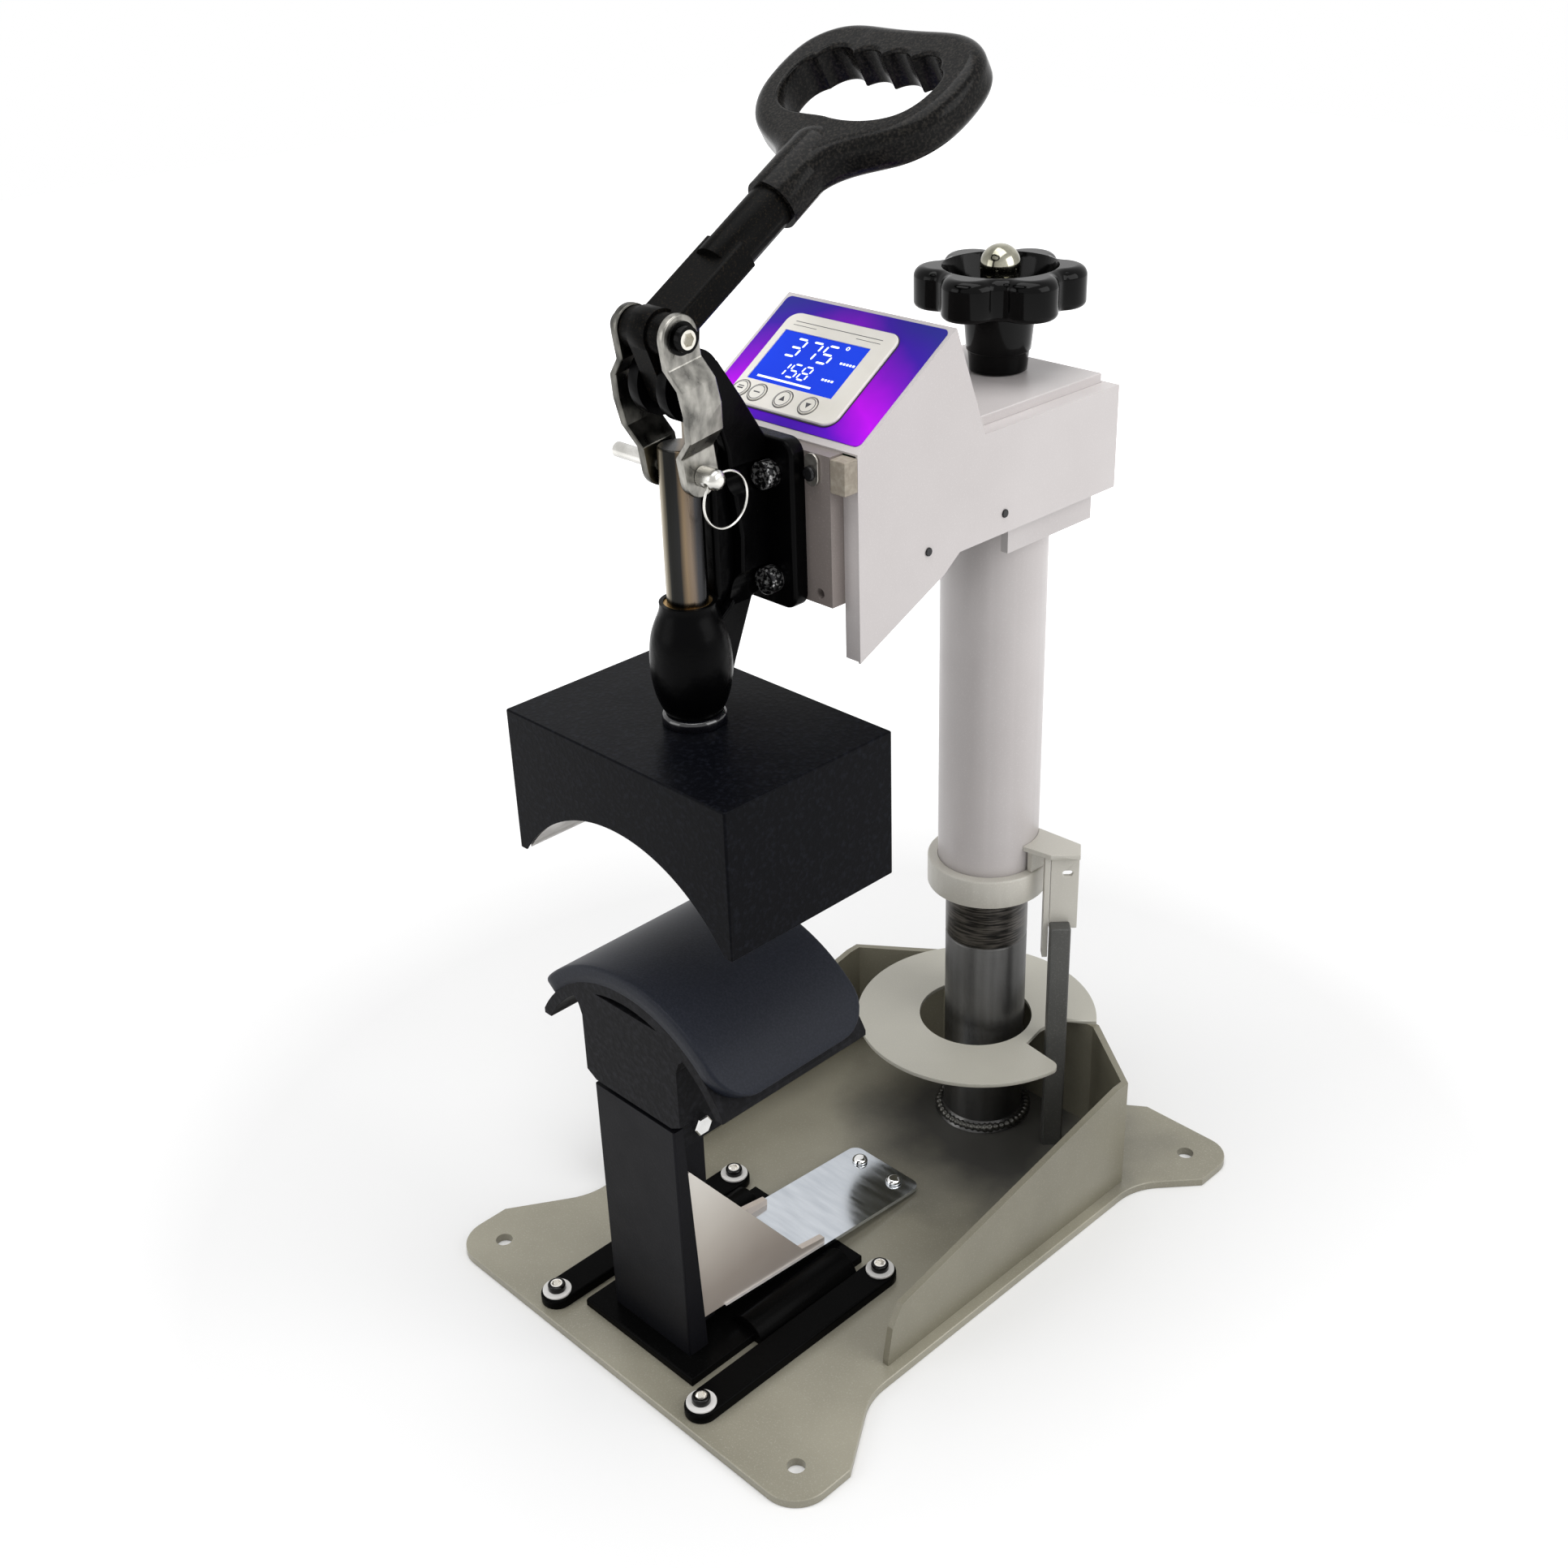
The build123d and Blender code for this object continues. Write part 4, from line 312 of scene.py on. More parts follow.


# ----------------------------------------------------------- base walls and disc
# Sheet-steel cheeks welded on the plate, turned in behind the post, with a notched disc
# lying across them. All have copies of the plate's coat, laid over the welds: darker on the
# cheeks as painted shade, paler on the disc as painted light.
# Painted shade: the cheeks take a darker copy of the plate's coat.
shaded_wall_coat = powder_coat("cheek_coat_painted_shade", (0.235, 0.220, 0.165), (0.175, 0.163, 0.12), (0.32, 0.30, 0.235), 0.36, 0.02, 0.1)
dress(shaded_wall_coat, "base_walls", edge_mm=0.6)
# Painted light: the disc takes a paler copy of the plate's coat.
lit_disc_coat = powder_coat(
    "notched_disc_painted_light", (0.50, 0.485, 0.42), (0.43, 0.415, 0.36), (0.56, 0.545, 0.49), 0.36, 0.012
)
dress(lit_disc_coat, "swing_disc", edge_mm=0.6)


# --------------------------------------------------------------------------- post
# Thick-walled steel tube, brushed round and oiled, its upper band turned bright and
# marked by the collar's travel. A run of weld holds its foot to the plate.
BAND_LOW = 0.1793
BAND_HIGH = 0.2253
WELD_BEADS = 46

brushed_post = Finish("brushed_post", (0.34, 0.335, 0.325), 0.38, 0.92)
lengthwise = brushed_post.noise(60, 4, (1, 1, 14))
streaks = brushed_post.noise(26, 3, (1, 1, 0.25))
height = brushed_post.node("ShaderNodeSeparateXYZ", None, (brushed_post.place(),), output=2)
in_band = (height > BAND_LOW) * (height < BAND_HIGH)
steel_tone = brushed_post.blend(
    brushed_post.clamp(streaks, 0.35, 0.7), (0.065, 0.065, 0.064), (0.145, 0.143, 0.14)
)
band_tone = brushed_post.blend(
    brushed_post.clamp(lengthwise, 0.4, 0.62), (0.022, 0.021, 0.020), (0.12, 0.11, 0.10)
)
brushed_post.set("Base Color", brushed_post.blend(in_band, steel_tone, band_tone))
brushed_post.set("Roughness", lengthwise * 0.25 + 0.24)
brushed_post.relief(lengthwise, 0.05)
dress(brushed_post, "post_tube", edge_mm=0.3)


def solid(name, points, faces, finish, body, smooth=True):
    """A new piece from its points in metres, which rides on a body."""
    mesh = bpy.data.meshes.new(name)
    mesh.from_pydata([tuple(p) for p in points], [], faces)
    mesh.materials.append(finish.material)
    mesh.validate()
    for face in mesh.polygons:
        face.use_smooth = smooth
    piece = bpy.data.objects.new(name, mesh)
    bpy.context.scene.collection.objects.link(piece)
    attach(piece, body)
    return piece


def bead_ring(centre, radius, bead, count, step=(1, 0, 0), rise=(0, 1, 0)):
    """Points and faces of a rippled weld run round a circle."""
    points, faces = [], []
    across = 8
    along = count * 4
    out_step, out_rise = Vector(step), Vector(rise)
    normal = out_step.cross(out_rise)
    for i in range(along):
        turn = 2 * pi * i / along
        out = out_step * cos(turn) + out_rise * sin(turn)
        swell = bead * (0.80 + 0.14 * cos(2 * pi * i * count / along) + 0.12 * sin(turn * 5 + 2 * cos(turn * 3)))
        for j in range(across):
            side = 2 * pi * j / across
            points.append(
                Vector(centre) + out * (radius + swell * cos(side)) + normal * swell * sin(side)
            )
    for i in range(along):
        for j in range(across):
            a, b = i * across, ((i + 1) % along) * across
            k = (j + 1) % across
            faces.append((a + j, b + j, b + k, a + k))
    return points, faces


weld_steel = Finish("weld_steel", (0.10, 0.098, 0.09), 0.3, 0.85)
weld_steel.relief(weld_steel.noise(300, 3), 0.2)
post_r = 0.03175
ring_points, ring_faces = bead_ring((0, POST_Y, 0.0095), post_r + 0.0032, 0.0042, WELD_BEADS)
solid("post_weld", ring_points, ring_faces, weld_steel, "base")


# ----------------------------------------------------------------------- stop bar
# Square cold-drawn bar standing in the disc's notch, painted dark. The head's bracket
# comes to rest on it.
bar_paint = powder_coat("bar_paint", (0.085, 0.085, 0.08), (0.05, 0.05, 0.048), (0.16, 0.16, 0.15), 0.4, 0.05, gloss=0.3)
dress(bar_paint, "stop_bar", edge_mm=0.6)


# ----------------------------------------------------------- rails and their bolts
# Two black flat bars with round ends hold the stand's foot. Each end has a socket
# screw on a white-painted washer.
rail_black = powder_coat("rail_black", (0.003, 0.003, 0.003), (0.002, 0.002, 0.002), (0.008, 0.008, 0.008), 0.3, 0.02, gloss=0.02)
dress(rail_black, "slide_rails", "stand_foot", edge_mm=0.7)

washer_white = Finish("washer_white", (0.74, 0.73, 0.71), 0.42)
washer_white.relief(washer_white.noise(500, 2), 0.02)
dress(washer_white, "rail_washers", edge_mm=0.4)


def plated(name, bright, dull, roughness, scale=90, stretch=(1, 1, 1)):
    """Zinc or chrome plate with a slightly uneven shine."""
    plate = Finish(name, bright, roughness, 1.0)
    uneven = plate.noise(scale, 4, stretch)
    plate.set("Base Color", plate.blend(plate.clamp(uneven, 0.3, 0.7), dull, bright))
    plate.set("Roughness", uneven * 0.22 + (roughness - 0.11))
    return plate


zinc = plated("zinc_plate", (0.72, 0.71, 0.68), (0.48, 0.47, 0.44), 0.26)
# Painted highlight: each screw head is bright round its axis, with a painted dark reflection over the rest of it.
RAIL_X = 0.078
RAIL_MID_Y = -0.1405
RAIL_HALF_PITCH = 0.0885
HEAD_HIGHLIGHT_R = 0.0042
screw_head_painted_highlight = Finish("screw_head_painted_highlight", (0.3, 0.3, 0.3), 0.2, 1.0)
spot = screw_head_painted_highlight.node("ShaderNodeVectorMath", {"operation": "SUBTRACT"}, (screw_head_painted_highlight.place(), (0, RAIL_MID_Y, 0)))
spot = screw_head_painted_highlight.node("ShaderNodeVectorMath", {"operation": "ABSOLUTE"}, (spot,))
spot = screw_head_painted_highlight.node("ShaderNodeVectorMath", {"operation": "SUBTRACT"}, (spot, (RAIL_X, RAIL_HALF_PITCH, 0)))
spot = screw_head_painted_highlight.node("ShaderNodeVectorMath", {"operation": "MULTIPLY"}, (spot, (1, 1, 0)))
off_axis = screw_head_painted_highlight.node("ShaderNodeVectorMath", {"operation": "LENGTH"}, (spot,), "Value")
screw_head_painted_highlight.set("Base Color", screw_head_painted_highlight.blend(off_axis > HEAD_HIGHLIGHT_R, (0.80, 0.78, 0.74), (0.02, 0.02, 0.02)))
dress(screw_head_painted_highlight, "rail_bolts", edge_mm=0.3)


# ----------------------------------------------------------------- stand column
# Folded and welded black column that carries the lower platen.
column_black = powder_coat("column_black", (0.008, 0.008, 0.010), (0.005, 0.005, 0.006), (0.014, 0.014, 0.018), 0.4, 0.05, gloss=0.07)
dress(column_black, "stand_column", edge_mm=0.8)


# ------------------------------------------------------------ gussets and tongue
# Polished stainless sheet: two gussets brace the column, and the tongue under them
# runs back over the foot to two round-head screws.
tongue_mirror = plated("tongue_stainless", (0.60, 0.63, 0.67), (0.48, 0.51, 0.55), 0.14, 30, (1, 6, 6))
dress(tongue_mirror, "stand_tongue")
# The gussets' colour is a random cloud plus a painted reflection that lightens towards their tops.
GUSSET_SHEEN_LOW_Z, GUSSET_SHEEN_HIGH_Z = 0.05, 0.15
gusset_steel = Finish("gusset_stainless", (0.70, 0.64, 0.58), 0.34, 0.35)
gusset_z = gusset_steel.node("ShaderNodeSeparateXYZ", None, (gusset_steel.place(),), output=2)
gusset_cloud_and_sheen = gusset_steel.noise(14, 3) * 0.4 + gusset_steel.clamp(gusset_z, GUSSET_SHEEN_LOW_Z, GUSSET_SHEEN_HIGH_Z) * 0.8
gusset_steel.set("Base Color", gusset_steel.blend(gusset_cloud_and_sheen, (0.50, 0.42, 0.36), (0.90, 0.86, 0.80)))
dress(gusset_steel, "stand_gussets")
chrome = plated("bright_chrome", (0.86, 0.86, 0.85), (0.70, 0.70, 0.69), 0.12)
dress(chrome, "tongue_screws", "platen_screw", edge_mm=0.3)


# ------------------------------------------------------------------ lower platen
# A sand-cast aluminium saddle with a black stove finish: arc, front web and a hub
# that slips over the column.
cast_black = Finish("cast_black", (0.010, 0.010, 0.011), 0.5, specular_ior_level=0.06)
pits = cast_black.noise(240, 4)
cast_black.set("Base Color", cast_black.blend(
    cast_black.clamp(pits, 0.45, 0.75), (0.007, 0.007, 0.008), (0.016, 0.016, 0.019)
))
cast_black.relief(pits, 0.35)
dress(cast_black, "lower_platen", edge_mm=1.2, segments=3)


# ------------------------------------------------------------------ silicone pad
# A 12 mm sheet of charcoal silicone foam, cut with round corners and glued over the
# saddle. Its face has a fine moulded grain and its rim is softly rounded.
PAD_LOW, PAD_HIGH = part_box("silicone_pad")
PAD_THICK = 0.012
PAD_R = 0.115
PAD_CORNER = 0.028
PAD_RIM = 0.0024
PAD_SPAN = radians(57.4) * PAD_R


def over_saddle(s, y, lift):
    """A place on the pad: s along the arc, y along the press, lift above the saddle."""
    radius = PAD_R - PAD_THICK + lift
    turn = s / PAD_R
    arc_z = PAD_HIGH[2] - PAD_R
    return (radius * sin(turn), (PAD_LOW[1] + PAD_HIGH[1]) / 2 + y, arc_z + radius * cos(turn))


pad_half_y = (PAD_HIGH[1] - PAD_LOW[1]) / 2
pad_flat = PAD_SPAN - PAD_CORNER
pad_end = [pad_flat + PAD_CORNER * sin(radians(a)) for a in (8, 18, 30, 42, 54, 66, 74, 80, 85, 90)]
pad_rows = [-s for s in reversed(pad_end)]
pad_rows += [pad_flat * (i / 24 - 1) for i in range(49)] + pad_end
pad_points, pad_faces = [], []
for s in pad_rows:
    past = max(0.0, abs(s) - pad_flat)
    side_y = pad_half_y - PAD_CORNER + sqrt(max(0.0, PAD_CORNER**2 - past**2))
    from_end = min(PAD_RIM, PAD_SPAN - abs(s))
    top = PAD_THICK - PAD_RIM + sqrt(max(0.0, PAD_RIM**2 - (PAD_RIM - from_end) ** 2))
    half_row = [(side_y, 0.0), (side_y, top * 0.5), (side_y, top - PAD_RIM)]
    half_row += [
        (side_y - PAD_RIM * (1 - cos(radians(a))), top - PAD_RIM * (1 - sin(radians(a))))
        for a in (22, 45, 68, 90)
    ]
    half_row += [(side_y - inset, top) for inset in (0.007, 0.015, 0.028)] + [(0.0, top)]
    row = half_row + [(-y, lift) for y, lift in reversed(half_row[:-1])]
    pad_points += [over_saddle(s, y, lift) for y, lift in row]
row_size = len(row)
for i in range(len(pad_rows) - 1):
    for j in range(row_size):
        a, b, k = i * row_size, (i + 1) * row_size, (j + 1) % row_size
        pad_faces.append((a + j, a + k, b + k, b + j))
pad_faces.append(tuple(reversed(range(row_size))))
pad_faces.append(tuple(len(pad_points) - row_size + j for j in range(row_size)))

silicone = Finish("charcoal_silicone", (0.010, 0.012, 0.018), 0.5, specular_ior_level=0.16)
grain = silicone.noise(700, 2)
silicone.set("Base Color", silicone.blend(silicone.clamp(grain, 0.4, 0.7), (0.008, 0.010, 0.016), (0.013, 0.015, 0.023)))
silicone.relief(grain, 0.08)
pad = solid("pad_sheet", pad_points, pad_faces, silicone, "base")
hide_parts("silicone_pad")


# ------------------------------------------------------- swing tube, collar, bracket
# The white swing tube turns on the post. A steel collar is welded round its foot, and
# a folded bracket on the collar meets the stop bar. All are sprayed off-white.
WHITE_PAINT = (0.60, 0.565, 0.560)
WHITE_SHADE = (0.55, 0.515, 0.510)
WHITE_LIGHT = (0.66, 0.63, 0.625)
white = powder_coat("white_powder_coat", WHITE_PAINT, WHITE_SHADE, WHITE_LIGHT, 0.36, 0.008)
dress(white, "outer_tube", edge_mm=0.4)
dress(white, "head_arm", edge_mm=0.8)
collar_coat = powder_coat("collar_coat", (0.58, 0.56, 0.50), (0.50, 0.48, 0.43), (0.66, 0.64, 0.58), 0.32, 0.02)
dress(collar_coat, "tube_collar", "stop_bracket", edge_mm=0.6)


# ---------------------------------------------------------------- control housing
# A folded sheet-steel shroud over the arm, sprayed white, with a sloping face for the
# display and side flanges turned in beside the arm's top plate.
dress(white, "control_housing")
# Painted shade: the front plate's coat is a darker warm grey than the housing's white, for a face turned from the
# lamps.
front_shaded_white = powder_coat("front_plate_painted_shade", (0.24, 0.205, 0.19), (0.19, 0.165, 0.155), (0.30, 0.27, 0.25), 0.34, 0.01)
dress(front_shaded_white, "front_plate", edge_mm=0.5)

corner_grip = Finish("corner_nylon", (0.22, 0.19, 0.155), 0.6)
wrinkles = corner_grip.noise(260, 4)
corner_grip.set("Base Color", corner_grip.blend(corner_grip.clamp(wrinkles, 0.4, 0.7), (0.26, 0.225, 0.18), (0.36, 0.32, 0.26)))
corner_grip.relief(wrinkles, 0.25)
dress(corner_grip, "corner_blocks", edge_mm=0.8)
clip_plate = plated("clip_plate", (0.52, 0.50, 0.46), (0.34, 0.32, 0.29), 0.34)
dress(clip_plate, "panel_clips", edge_mm=0.3)
screw_black = Finish("blackened_screw", (0.015, 0.015, 0.016), 0.28, 0.6)
screw_black.set("Roughness", screw_black.noise(220, 3) * 0.3 + 0.14)
dress(screw_black, "housing_screws", edge_mm=0.3)


# ------------------------------------------------------------------ display panel
# A printed film fills the sloping face; a cream bezel over it frames a blue liquid
# crystal display and four round keys.
PANEL_HALF_W = 0.071
PANEL_LOW_Y = -0.056
PANEL_LOW_Z = 0.634
PANEL_SLOPE = radians(32.77)
FILM_MM = 0.6
BEZEL_MM = 2.0
GLASS_X_MM, GLASS_LOW_MM, GLASS_W_MM, GLASS_H_MM = -10.5, 31.0, 73.0, 42.0
KEYS_MM = (-45.0, -30.0, -7.5, 14.0)
KEY_ALONG_MM = 22.0
KEY_R_MM = 6.3


def on_panel(x_mm, along_mm, lift_mm):
    """A place on the sloping face: across, up the slope and out from the sheet."""
    return Vector((
        x_mm / 1000,
        PANEL_LOW_Y + (along_mm * cos(PANEL_SLOPE) - lift_mm * sin(PANEL_SLOPE)) / 1000,
        PANEL_LOW_Z + (along_mm * sin(PANEL_SLOPE) + lift_mm * cos(PANEL_SLOPE)) / 1000,
    ))


film = Finish("printed_film", (0.25, 0.06, 0.75), 0.3, specular_ior_level=0.05)
x_along = film.node("ShaderNodeSeparateXYZ", None, (film.place((1 / PANEL_HALF_W, 1, 1)),), output=0)
z_along = film.node("ShaderNodeSeparateXYZ", None, (film.place(),), output=2)
up_face = film.clamp(z_along, PANEL_LOW_Z, 0.690)
drift = film.noise(18, 3)
diagonal = up_face * 0.7 + abs(x_along) * 0.25 + drift * 0.25
film.set("Base Color", film.node("ShaderNodeValToRGB", {"stops": (
    (0.10, (0.045, 0.010, 0.40)),
    (1.0, (0.030, 0.028, 0.28)),
    (0.34, (0.12, 0.006, 0.60)),
    (0.52, (0.52, 0.006, 0.86)),
    (0.68, (0.24, 0.008, 0.60)),
    (0.86, (0.050, 0.016, 0.38)),
)}, (diagonal,)))
dress(film, "panel_overlay")

cream = Finish("cream_bezel", (0.78, 0.73, 0.60), 0.34, coat_weight=0.2)
cream.set("Base Color", cream.blend(cream.clamp(cream.noise(30, 3), 0.3, 0.7), (0.76, 0.73, 0.66), (0.84, 0.81, 0.75)))
dress(cream, "display_bezel", edge_mm=0.4)
dress(cream, "panel_key_1", "panel_key_2", "panel_key_3", "panel_key_4")

lcd = Finish("blue_display", (0.003, 0.022, 0.40), 0.12, specular_ior_level=0.1, emission_strength=0.5)
lcd.set("Emission Color", lcd.blend(lcd.clamp(lcd.noise(14, 2), 0.3, 0.7), (0.0, 0.045, 0.80), (0.0, 0.075, 1.0)))
dress(lcd, "display_glass")

ink = Finish("panel_ink", (0.035, 0.033, 0.04), 0.4)
digit_white = Finish("display_white", (0.75, 0.85, 1.0), 0.3, emission_strength=0.9)
digit_white.set("Emission Color", (0.78, 0.88, 1.0))


def panel_plate(name, shapes, lift_mm, thick_mm, finish, body):
    """Flat shapes on the panel, each a list of (across, along) corners, as one thin piece."""
    points, faces = [], []
    for corners in shapes:
        start, count = len(points), len(corners)
        points += [on_panel(x, v, lift_mm) for x, v in corners]
        points += [on_panel(x, v, lift_mm + thick_mm) for x, v in corners]
        faces.append(tuple(start + count + i for i in range(count)))
        faces.append(tuple(start + i for i in reversed(range(count))))
        for i in range(count):
            j = (i + 1) % count
            faces.append((start + i, start + j, start + count + j, start + count + i))
    return solid(name, points, faces, finish, body, smooth=False)


SEGMENTS = {
    "top": ((0, 2), (1, 2)), "middle": ((0, 1), (1, 1)), "bottom": ((0, 0), (1, 0)),
    "upper_left": ((0, 1), (0, 2)), "upper_right": ((1, 1), (1, 2)),
    "lower_left": ((0, 0), (0, 1)), "lower_right": ((1, 0), (1, 1)),
}
DIGITS = {
    "0": "top bottom upper_left upper_right lower_left lower_right",
    "1": "upper_right lower_right",
    "3": "top middle bottom upper_right lower_right",
    "5": "top upper_left middle lower_right bottom",
    "7": "top upper_right lower_right",
    "8": "top middle bottom upper_left upper_right lower_left lower_right",
}


def digit_shapes(digit, x, along, width, height, stroke):
    """The lit strokes of one seven-segment figure, leaning a little as on a real display."""
    lean = 0.12
    shapes = []
    for lit in DIGITS[digit].split():
        (x0, z0), (x1, z1) = SEGMENTS[lit]
        ax, az = x0 * width, z0 * height / 2
        bx, bz = x1 * width, z1 * height / 2
        length = sqrt((bx - ax) ** 2 + (bz - az) ** 2)
        ux, uz = (bx - ax) / length, (bz - az) / length
        gap, half = stroke * 0.55, stroke / 2
        ring = (
            (gap, 0), (gap + half, half), (length - gap - half, half),
            (length - gap, 0), (length - gap - half, -half), (gap + half, -half),
        )
        corners = []
        for u, v in ring:
            px, pz = ax + ux * u - uz * v, az + uz * u + ux * v
            corners.append((x + px + lean * pz, along + pz))
        shapes.append(corners)
    return shapes


def disc_shape(x, along, radius, count=24, start=0.0):
    return [
        (x + radius * cos(start + 2 * pi * i / count), along + radius * sin(start + 2 * pi * i / count))
        for i in range(count)
    ]


def ring_shapes(x, along, outer, inner, count=32):
    """A flat ring as a run of small four-sided shapes."""
    shapes = []
    for i in range(count):
        a, b = 2 * pi * i / count, 2 * pi * (i + 1) / count
        shapes.append([
            (x + inner * cos(a), along + inner * sin(a)),
            (x + outer * cos(a), along + outer * sin(a)),
            (x + outer * cos(b), along + outer * sin(b)),
            (x + inner * cos(b), along + inner * sin(b)),
        ])
    return shapes


def rounded_rectangle(half_x, half_y, corner, steps):
    """Corner-rounded outline, anticlockwise."""
    outline = []
    for quarter, (sx, sy) in enumerate(((1, 1), (-1, 1), (-1, -1), (1, -1))):
        for i in range(steps + 1):
            turn = pi / 2 * (quarter + i / steps)
            outline.append((
                sx * (half_x - corner) + corner * cos(turn),
                sy * (half_y - corner) + corner * sin(turn),
            ))
    return outline


def bar_shape(x, along, width, height):
    return [(x, along), (x + width, along), (x + width, along + height), (x, along + height)]


glass_top = FILM_MM + BEZEL_MM - 0.6
figures = []
for place, digit in enumerate("375"):
    figures += digit_shapes(digit, -34 + place * 13.5, 54.5, 9.0, 14.0, 1.5)
figures += ring_shapes(9.5, 69.5, 1.5, 0.8, 16)
for place, digit in enumerate("158"):
    figures += digit_shapes(digit, -30 + place * 9.5, 39.0, 6.5, 10.5, 1.2)
figures += [bar_shape(-41, 34.2, 46, 1.5)]
figures += [bar_shape(12 + i * 2.6, 57.0, 1.7, 1.6) for i in range(5)]
figures += [bar_shape(8 + i * 2.6, 42.5, 1.7, 1.6) for i in range(4)]
panel_plate("display_figures", figures, glass_top - 0.05, 0.12, digit_white, "head")

bezel_top = FILM_MM + BEZEL_MM
trim = [bar_shape(-44, 80.5, 74, 0.45), bar_shape(-44, 77.6, 20, 0.35), bar_shape(10, 77.6, 20, 0.35)]
for x in KEYS_MM:
    trim += ring_shapes(x, KEY_ALONG_MM, KEY_R_MM + 0.95, KEY_R_MM + 0.4)
# Painted shadow: a thin dark ring round the bezel's foot, lying on the film.
edge_in = rounded_rectangle(47.0, 38.0, 9.0, 6)
edge_out = rounded_rectangle(47.7, 38.7, 9.7, 6)
shadow_rim_shapes = []
for i in range(len(edge_in)):
    j = (i + 1) % len(edge_in)
    shadow_rim_shapes.append([(-6 + x, 50 + y) for x, y in (edge_in[i], edge_out[i], edge_out[j], edge_in[j])])
panel_plate("bezel_painted_shadow", shadow_rim_shapes, FILM_MM - 0.05, 0.6, ink, "head")
panel_plate("bezel_print", trim, bezel_top - 0.05, 0.12, ink, "head")

key_top = bezel_top + 0.7
key_marks = (
    [bar_shape(-2.4, -0.5, 4.8, 1.0), bar_shape(-2.4, 1.3, 4.8, 0.7)],
    [bar_shape(-2.6, -0.45, 5.2, 0.9)],
    [disc_shape(0, -0.3, 2.6, 3, pi / 2)],
    [disc_shape(0, 0.3, 2.6, 3, -pi / 2)],
)
for number, (x, mark) in enumerate(zip(KEYS_MM, key_marks), start=1):
    shapes = [[(x + u, KEY_ALONG_MM + v) for u, v in corners] for corners in mark]
    shapes += ring_shapes(x, KEY_ALONG_MM, KEY_R_MM - 0.6, KEY_R_MM - 1.1)
    panel_plate(f"key_mark_{number}", shapes, key_top - 0.05, 0.12, ink, f"key_{number}")


# ---------------------------------------------------------------- toggle bracket
# Ductile-iron casting: a flange bolted to the front plate, a guide barrel for the ram
# and two ears for the lever's pivot, dipped in thick black enamel.
enamel = Finish("black_enamel", (0.0010, 0.0010, 0.0012), 0.16, specular_ior_level=0.04)
runs = enamel.noise(38, 3)
enamel.set("Roughness", runs * 0.3 + 0.14)
enamel.relief(runs, 1.2)
dress(enamel, "toggle_bracket", edge_mm=1.4, segments=3)
bolt_black = Finish("oxide_black", (0.020, 0.020, 0.021), 0.3, 0.8)
# Painted glints: scattered bright specks over the bolts.
painted_glints = bolt_black.clamp(bolt_black.noise(420, 3), 0.50, 0.58)
bolt_black.set("Base Color", bolt_black.blend(painted_glints, (0.012, 0.012, 0.013), (0.42, 0.42, 0.42)))
bolt_black.relief(bolt_black.noise(420, 3), 0.3)
dress(bolt_black, "bracket_bolts", edge_mm=0.4)
dress(zinc, "pivot_pin", edge_mm=0.3)


# --------------------------------------------------------------- lever and grip
# A flat black bar on the toggle, drawn down to a tube that takes the moulded grip.
lever_paint = powder_coat("lever_paint", (0.003, 0.003, 0.003), (0.001, 0.001, 0.001), (0.030, 0.022, 0.014), 0.36, 0.05, gloss=0.03)
dress(lever_paint, "lever_arm", edge_mm=0.5)
grip_rubber = Finish("grip_moulding", (0.005, 0.005, 0.005), 0.22, specular_ior_level=0.08)
grip_grain = grip_rubber.noise(600, 2)
grip_rubber.set("Base Color", grip_rubber.blend(grip_rubber.clamp(grip_grain, 0.45, 0.75), (0.004, 0.004, 0.004), (0.026, 0.023, 0.020)))
grip_rubber.relief(grip_grain, 0.06)
dress(grip_rubber, "hand_grip", edge_mm=0.3)


# ------------------------------------------------------------- links, ram and nut
# Two zinc-plated straps, bowed outward, swing the ram on its quick pin. The ram is a
# ground inch bar in a bronze-bushed barrel with a steel nut at its foot.
strap_zinc = plated("strap_zinc", (0.36, 0.35, 0.32), (0.10, 0.098, 0.09), 0.3, 130, (1, 1, 0.5))
# Painted shade: the strap on the -X side takes a darker copy of the zinc than the one on the +X side.
strap_x_for_shade = strap_zinc.node("ShaderNodeSeparateXYZ", None, (
    strap_zinc.node("ShaderNodeTexCoord", output="Generated"),), output=0)
strap_tone = strap_zinc.clamp(strap_zinc.noise(130, 4, (1, 1, 0.5)), 0.3, 0.7)
strap_zinc.set("Base Color", strap_zinc.blend(
    strap_x_for_shade > 0.5,
    strap_zinc.blend(strap_tone, (0.03, 0.03, 0.027), (0.15, 0.145, 0.13)),
    strap_zinc.blend(strap_tone, (0.10, 0.098, 0.09), (0.36, 0.35, 0.32)),
))
strap_zinc.relief(strap_zinc.noise(500, 3), 0.03)
dress(strap_zinc, "toggle_links", edge_mm=1.0, segments=3)
washer_and_head = Finish("link_bolt_plate", (0.5, 0.5, 0.5), 0.24, 1.0)
away = washer_and_head.node("ShaderNodeVectorMath", {"operation": "SUBTRACT"}, (
    washer_and_head.node("ShaderNodeTexCoord", output="Generated"), (0.5, 0.5, 0.5)))
away = washer_and_head.node("ShaderNodeVectorMath", {"operation": "MULTIPLY"}, (away, (0, 1, 1)))
from_axis = washer_and_head.node("ShaderNodeVectorMath", {"operation": "LENGTH"}, (away,), "Value")
washer_and_head.set("Base Color", washer_and_head.blend(
    from_axis > 0.29, (0.62, 0.60, 0.54), (0.006, 0.006, 0.006)
))
dress(washer_and_head, "link_bolts", edge_mm=0.4)
RAM_LOW, RAM_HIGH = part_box("ram_rod")
RAM_RADIUS = 0.0127
RAM_REFLECTION_TURN = radians(46)
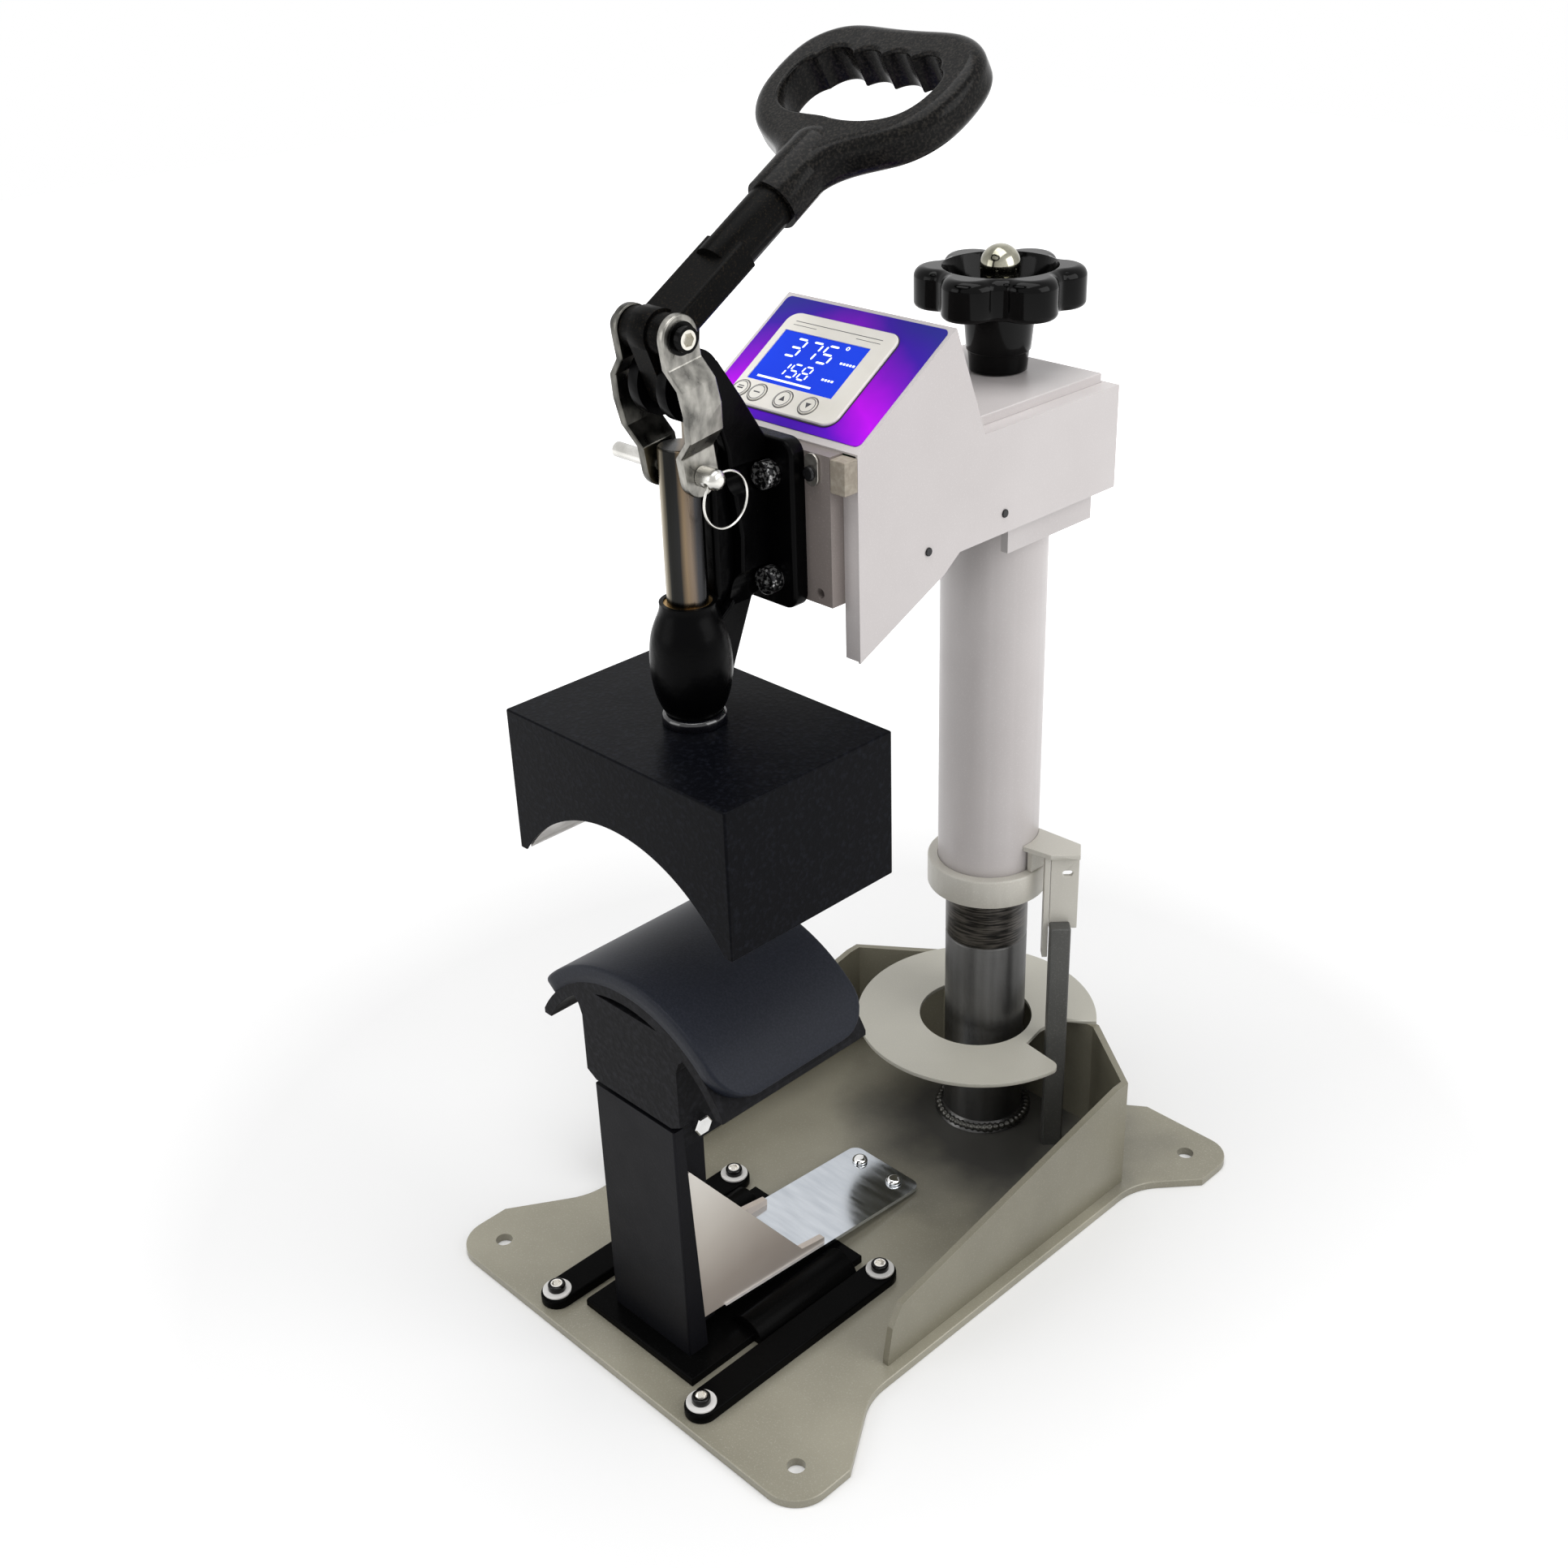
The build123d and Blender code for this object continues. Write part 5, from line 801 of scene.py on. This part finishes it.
# Painted reflection: the ram's colour runs in dark and tan bands down its length, set by where a point lies across the
# bar and broken by scratches.
ram_steel = Finish("ram_steel", (0.1, 0.1, 0.1), 0.3, 1.0)
scratches = ram_steel.noise(110, 4, (1, 1, 0.08))
ram_place = ram_steel.node("ShaderNodeVectorMath", {"operation": "SUBTRACT"}, (
    ram_steel.place(), (0, (RAM_LOW[1] + RAM_HIGH[1]) / 2, 0)))
ram_painted_reflection = ram_steel.node("ShaderNodeVectorMath", {"operation": "DOT_PRODUCT"}, (
    ram_place, (cos(RAM_REFLECTION_TURN) / RAM_RADIUS, sin(RAM_REFLECTION_TURN) / RAM_RADIUS, 0)), "Value")
ram_painted_reflection = ram_steel.clamp(ram_painted_reflection + scratches * 0.3 - 0.15, -1, 1)
ram_steel.set("Base Color", ram_steel.node("ShaderNodeValToRGB", {"stops": (
    (0.02, (0.26, 0.22, 0.15)),
    (1.0, (0.006, 0.006, 0.007)),
    (0.16, (0.012, 0.012, 0.011)),
    (0.42, (0.020, 0.020, 0.020)),
    (0.55, (0.17, 0.125, 0.080)),
    (0.66, (0.15, 0.115, 0.085)),
    (0.82, (0.040, 0.040, 0.042)),
)}, (ram_painted_reflection,)))
ram_steel.set("Roughness", scratches * 0.3 + 0.12)
dress(ram_steel, "ram_rod", edge_mm=0.5)
wet_black = Finish("wet_black", (0.004, 0.004, 0.006), 0.06, specular_ior_level=0.8)
wet_black.relief(wet_black.noise(90, 2), 0.8)
dress(wet_black, "ram_locknut", edge_mm=0.5)
dress(zinc, "quick_pin", "pin_ring", edge_mm=0.2)
bronze = Finish("oiled_bronze", (0.42, 0.27, 0.11), 0.4, 1.0)
bronze.set("Roughness", bronze.noise(200, 3) * 0.3 + 0.25)
dress(bronze, "ram_bushes", "tube_bushes")


# ------------------------------------------------------------------------- heater
# A black sheet-steel cover over a cast aluminium heater block with its rods, blanket
# and thermostat. The block's face follows the cap's crown.
cover_black = Finish("cover_black", (0.004, 0.004, 0.006), 0.30, specular_ior_level=0.035)
peel = cover_black.noise(330, 3)
cover_black.set("Base Color", cover_black.blend(cover_black.clamp(peel, 0.5, 0.8), (0.0022, 0.0024, 0.0036), (0.008, 0.009, 0.013)))
cover_black.set("Roughness", cover_black.noise(40, 3) * 0.2 + 0.22)
cover_black.relief(peel, 0.12)
dress(cover_black, "heater_cover", edge_mm=0.5)
cast_alu = Finish("cast_aluminium", (0.62, 0.60, 0.58), 0.36, 1.0)
cast_alu.set("Roughness", cast_alu.noise(150, 3) * 0.3 + 0.22)
dress(cast_alu, "heater_platen", edge_mm=0.6)
bracket_steel = Finish("rolled_steel", (0.20, 0.20, 0.20), 0.5, 0.8)
bracket_steel.set("Roughness", bracket_steel.noise(90, 3) * 0.3 + 0.35)
dress(bracket_steel, "heater_mount", "heating_rods", "thermostat", "transformer")
blanket = Finish("glass_blanket", (0.66, 0.63, 0.55), 0.9)
blanket.relief(blanket.noise(350, 4), 0.6)
dress(blanket, "insulation_blanket")


# ------------------------------------------------------------ height screw and knob
# The screw lifts the head on the post. Its six-lobed knob is a glossy black moulding
# over a hub, held by a chrome acorn nut.
machined = Finish("machined_steel", (0.42, 0.42, 0.41), 0.32, 1.0)
machined.relief(machined.noise(120, 2, (1, 1, 8)), 0.04)
dress(machined, "adjusting_screw", "lift_nut", "thrust_race")
knob_gloss = Finish("knob_moulding", (0.0015, 0.0015, 0.0015), 0.09, specular_ior_level=0.10)
knob_gloss.set("Roughness", knob_gloss.noise(25, 2) * 0.12 + 0.05)
dress(knob_gloss, "pressure_knob", edge_mm=0.3)
dome_chrome = plated("dome_chrome", (0.60, 0.58, 0.47), (0.16, 0.155, 0.12), 0.14, 60)
dress(dome_chrome, "knob_nut", edge_mm=0.4)


# ------------------------------------------------------------------ power module
# Moulded inlet for a mains lead with its rocker switch above, let into the left wall,
# and the two boards behind the panel.
module_black = Finish("module_black", (0.02, 0.02, 0.02), 0.4)
module_black.relief(module_black.noise(800, 2), 0.03)
dress(module_black, "power_inlet", "power_rocker", edge_mm=0.3)
board_green = Finish("board_green", (0.02, 0.16, 0.06), 0.4)
board_green.set("Base Color", board_green.blend(board_green.clamp(board_green.noise(160, 2), 0.5, 0.6), (0.015, 0.13, 0.05), (0.04, 0.24, 0.10)))
dress(board_green, "circuit_boards")
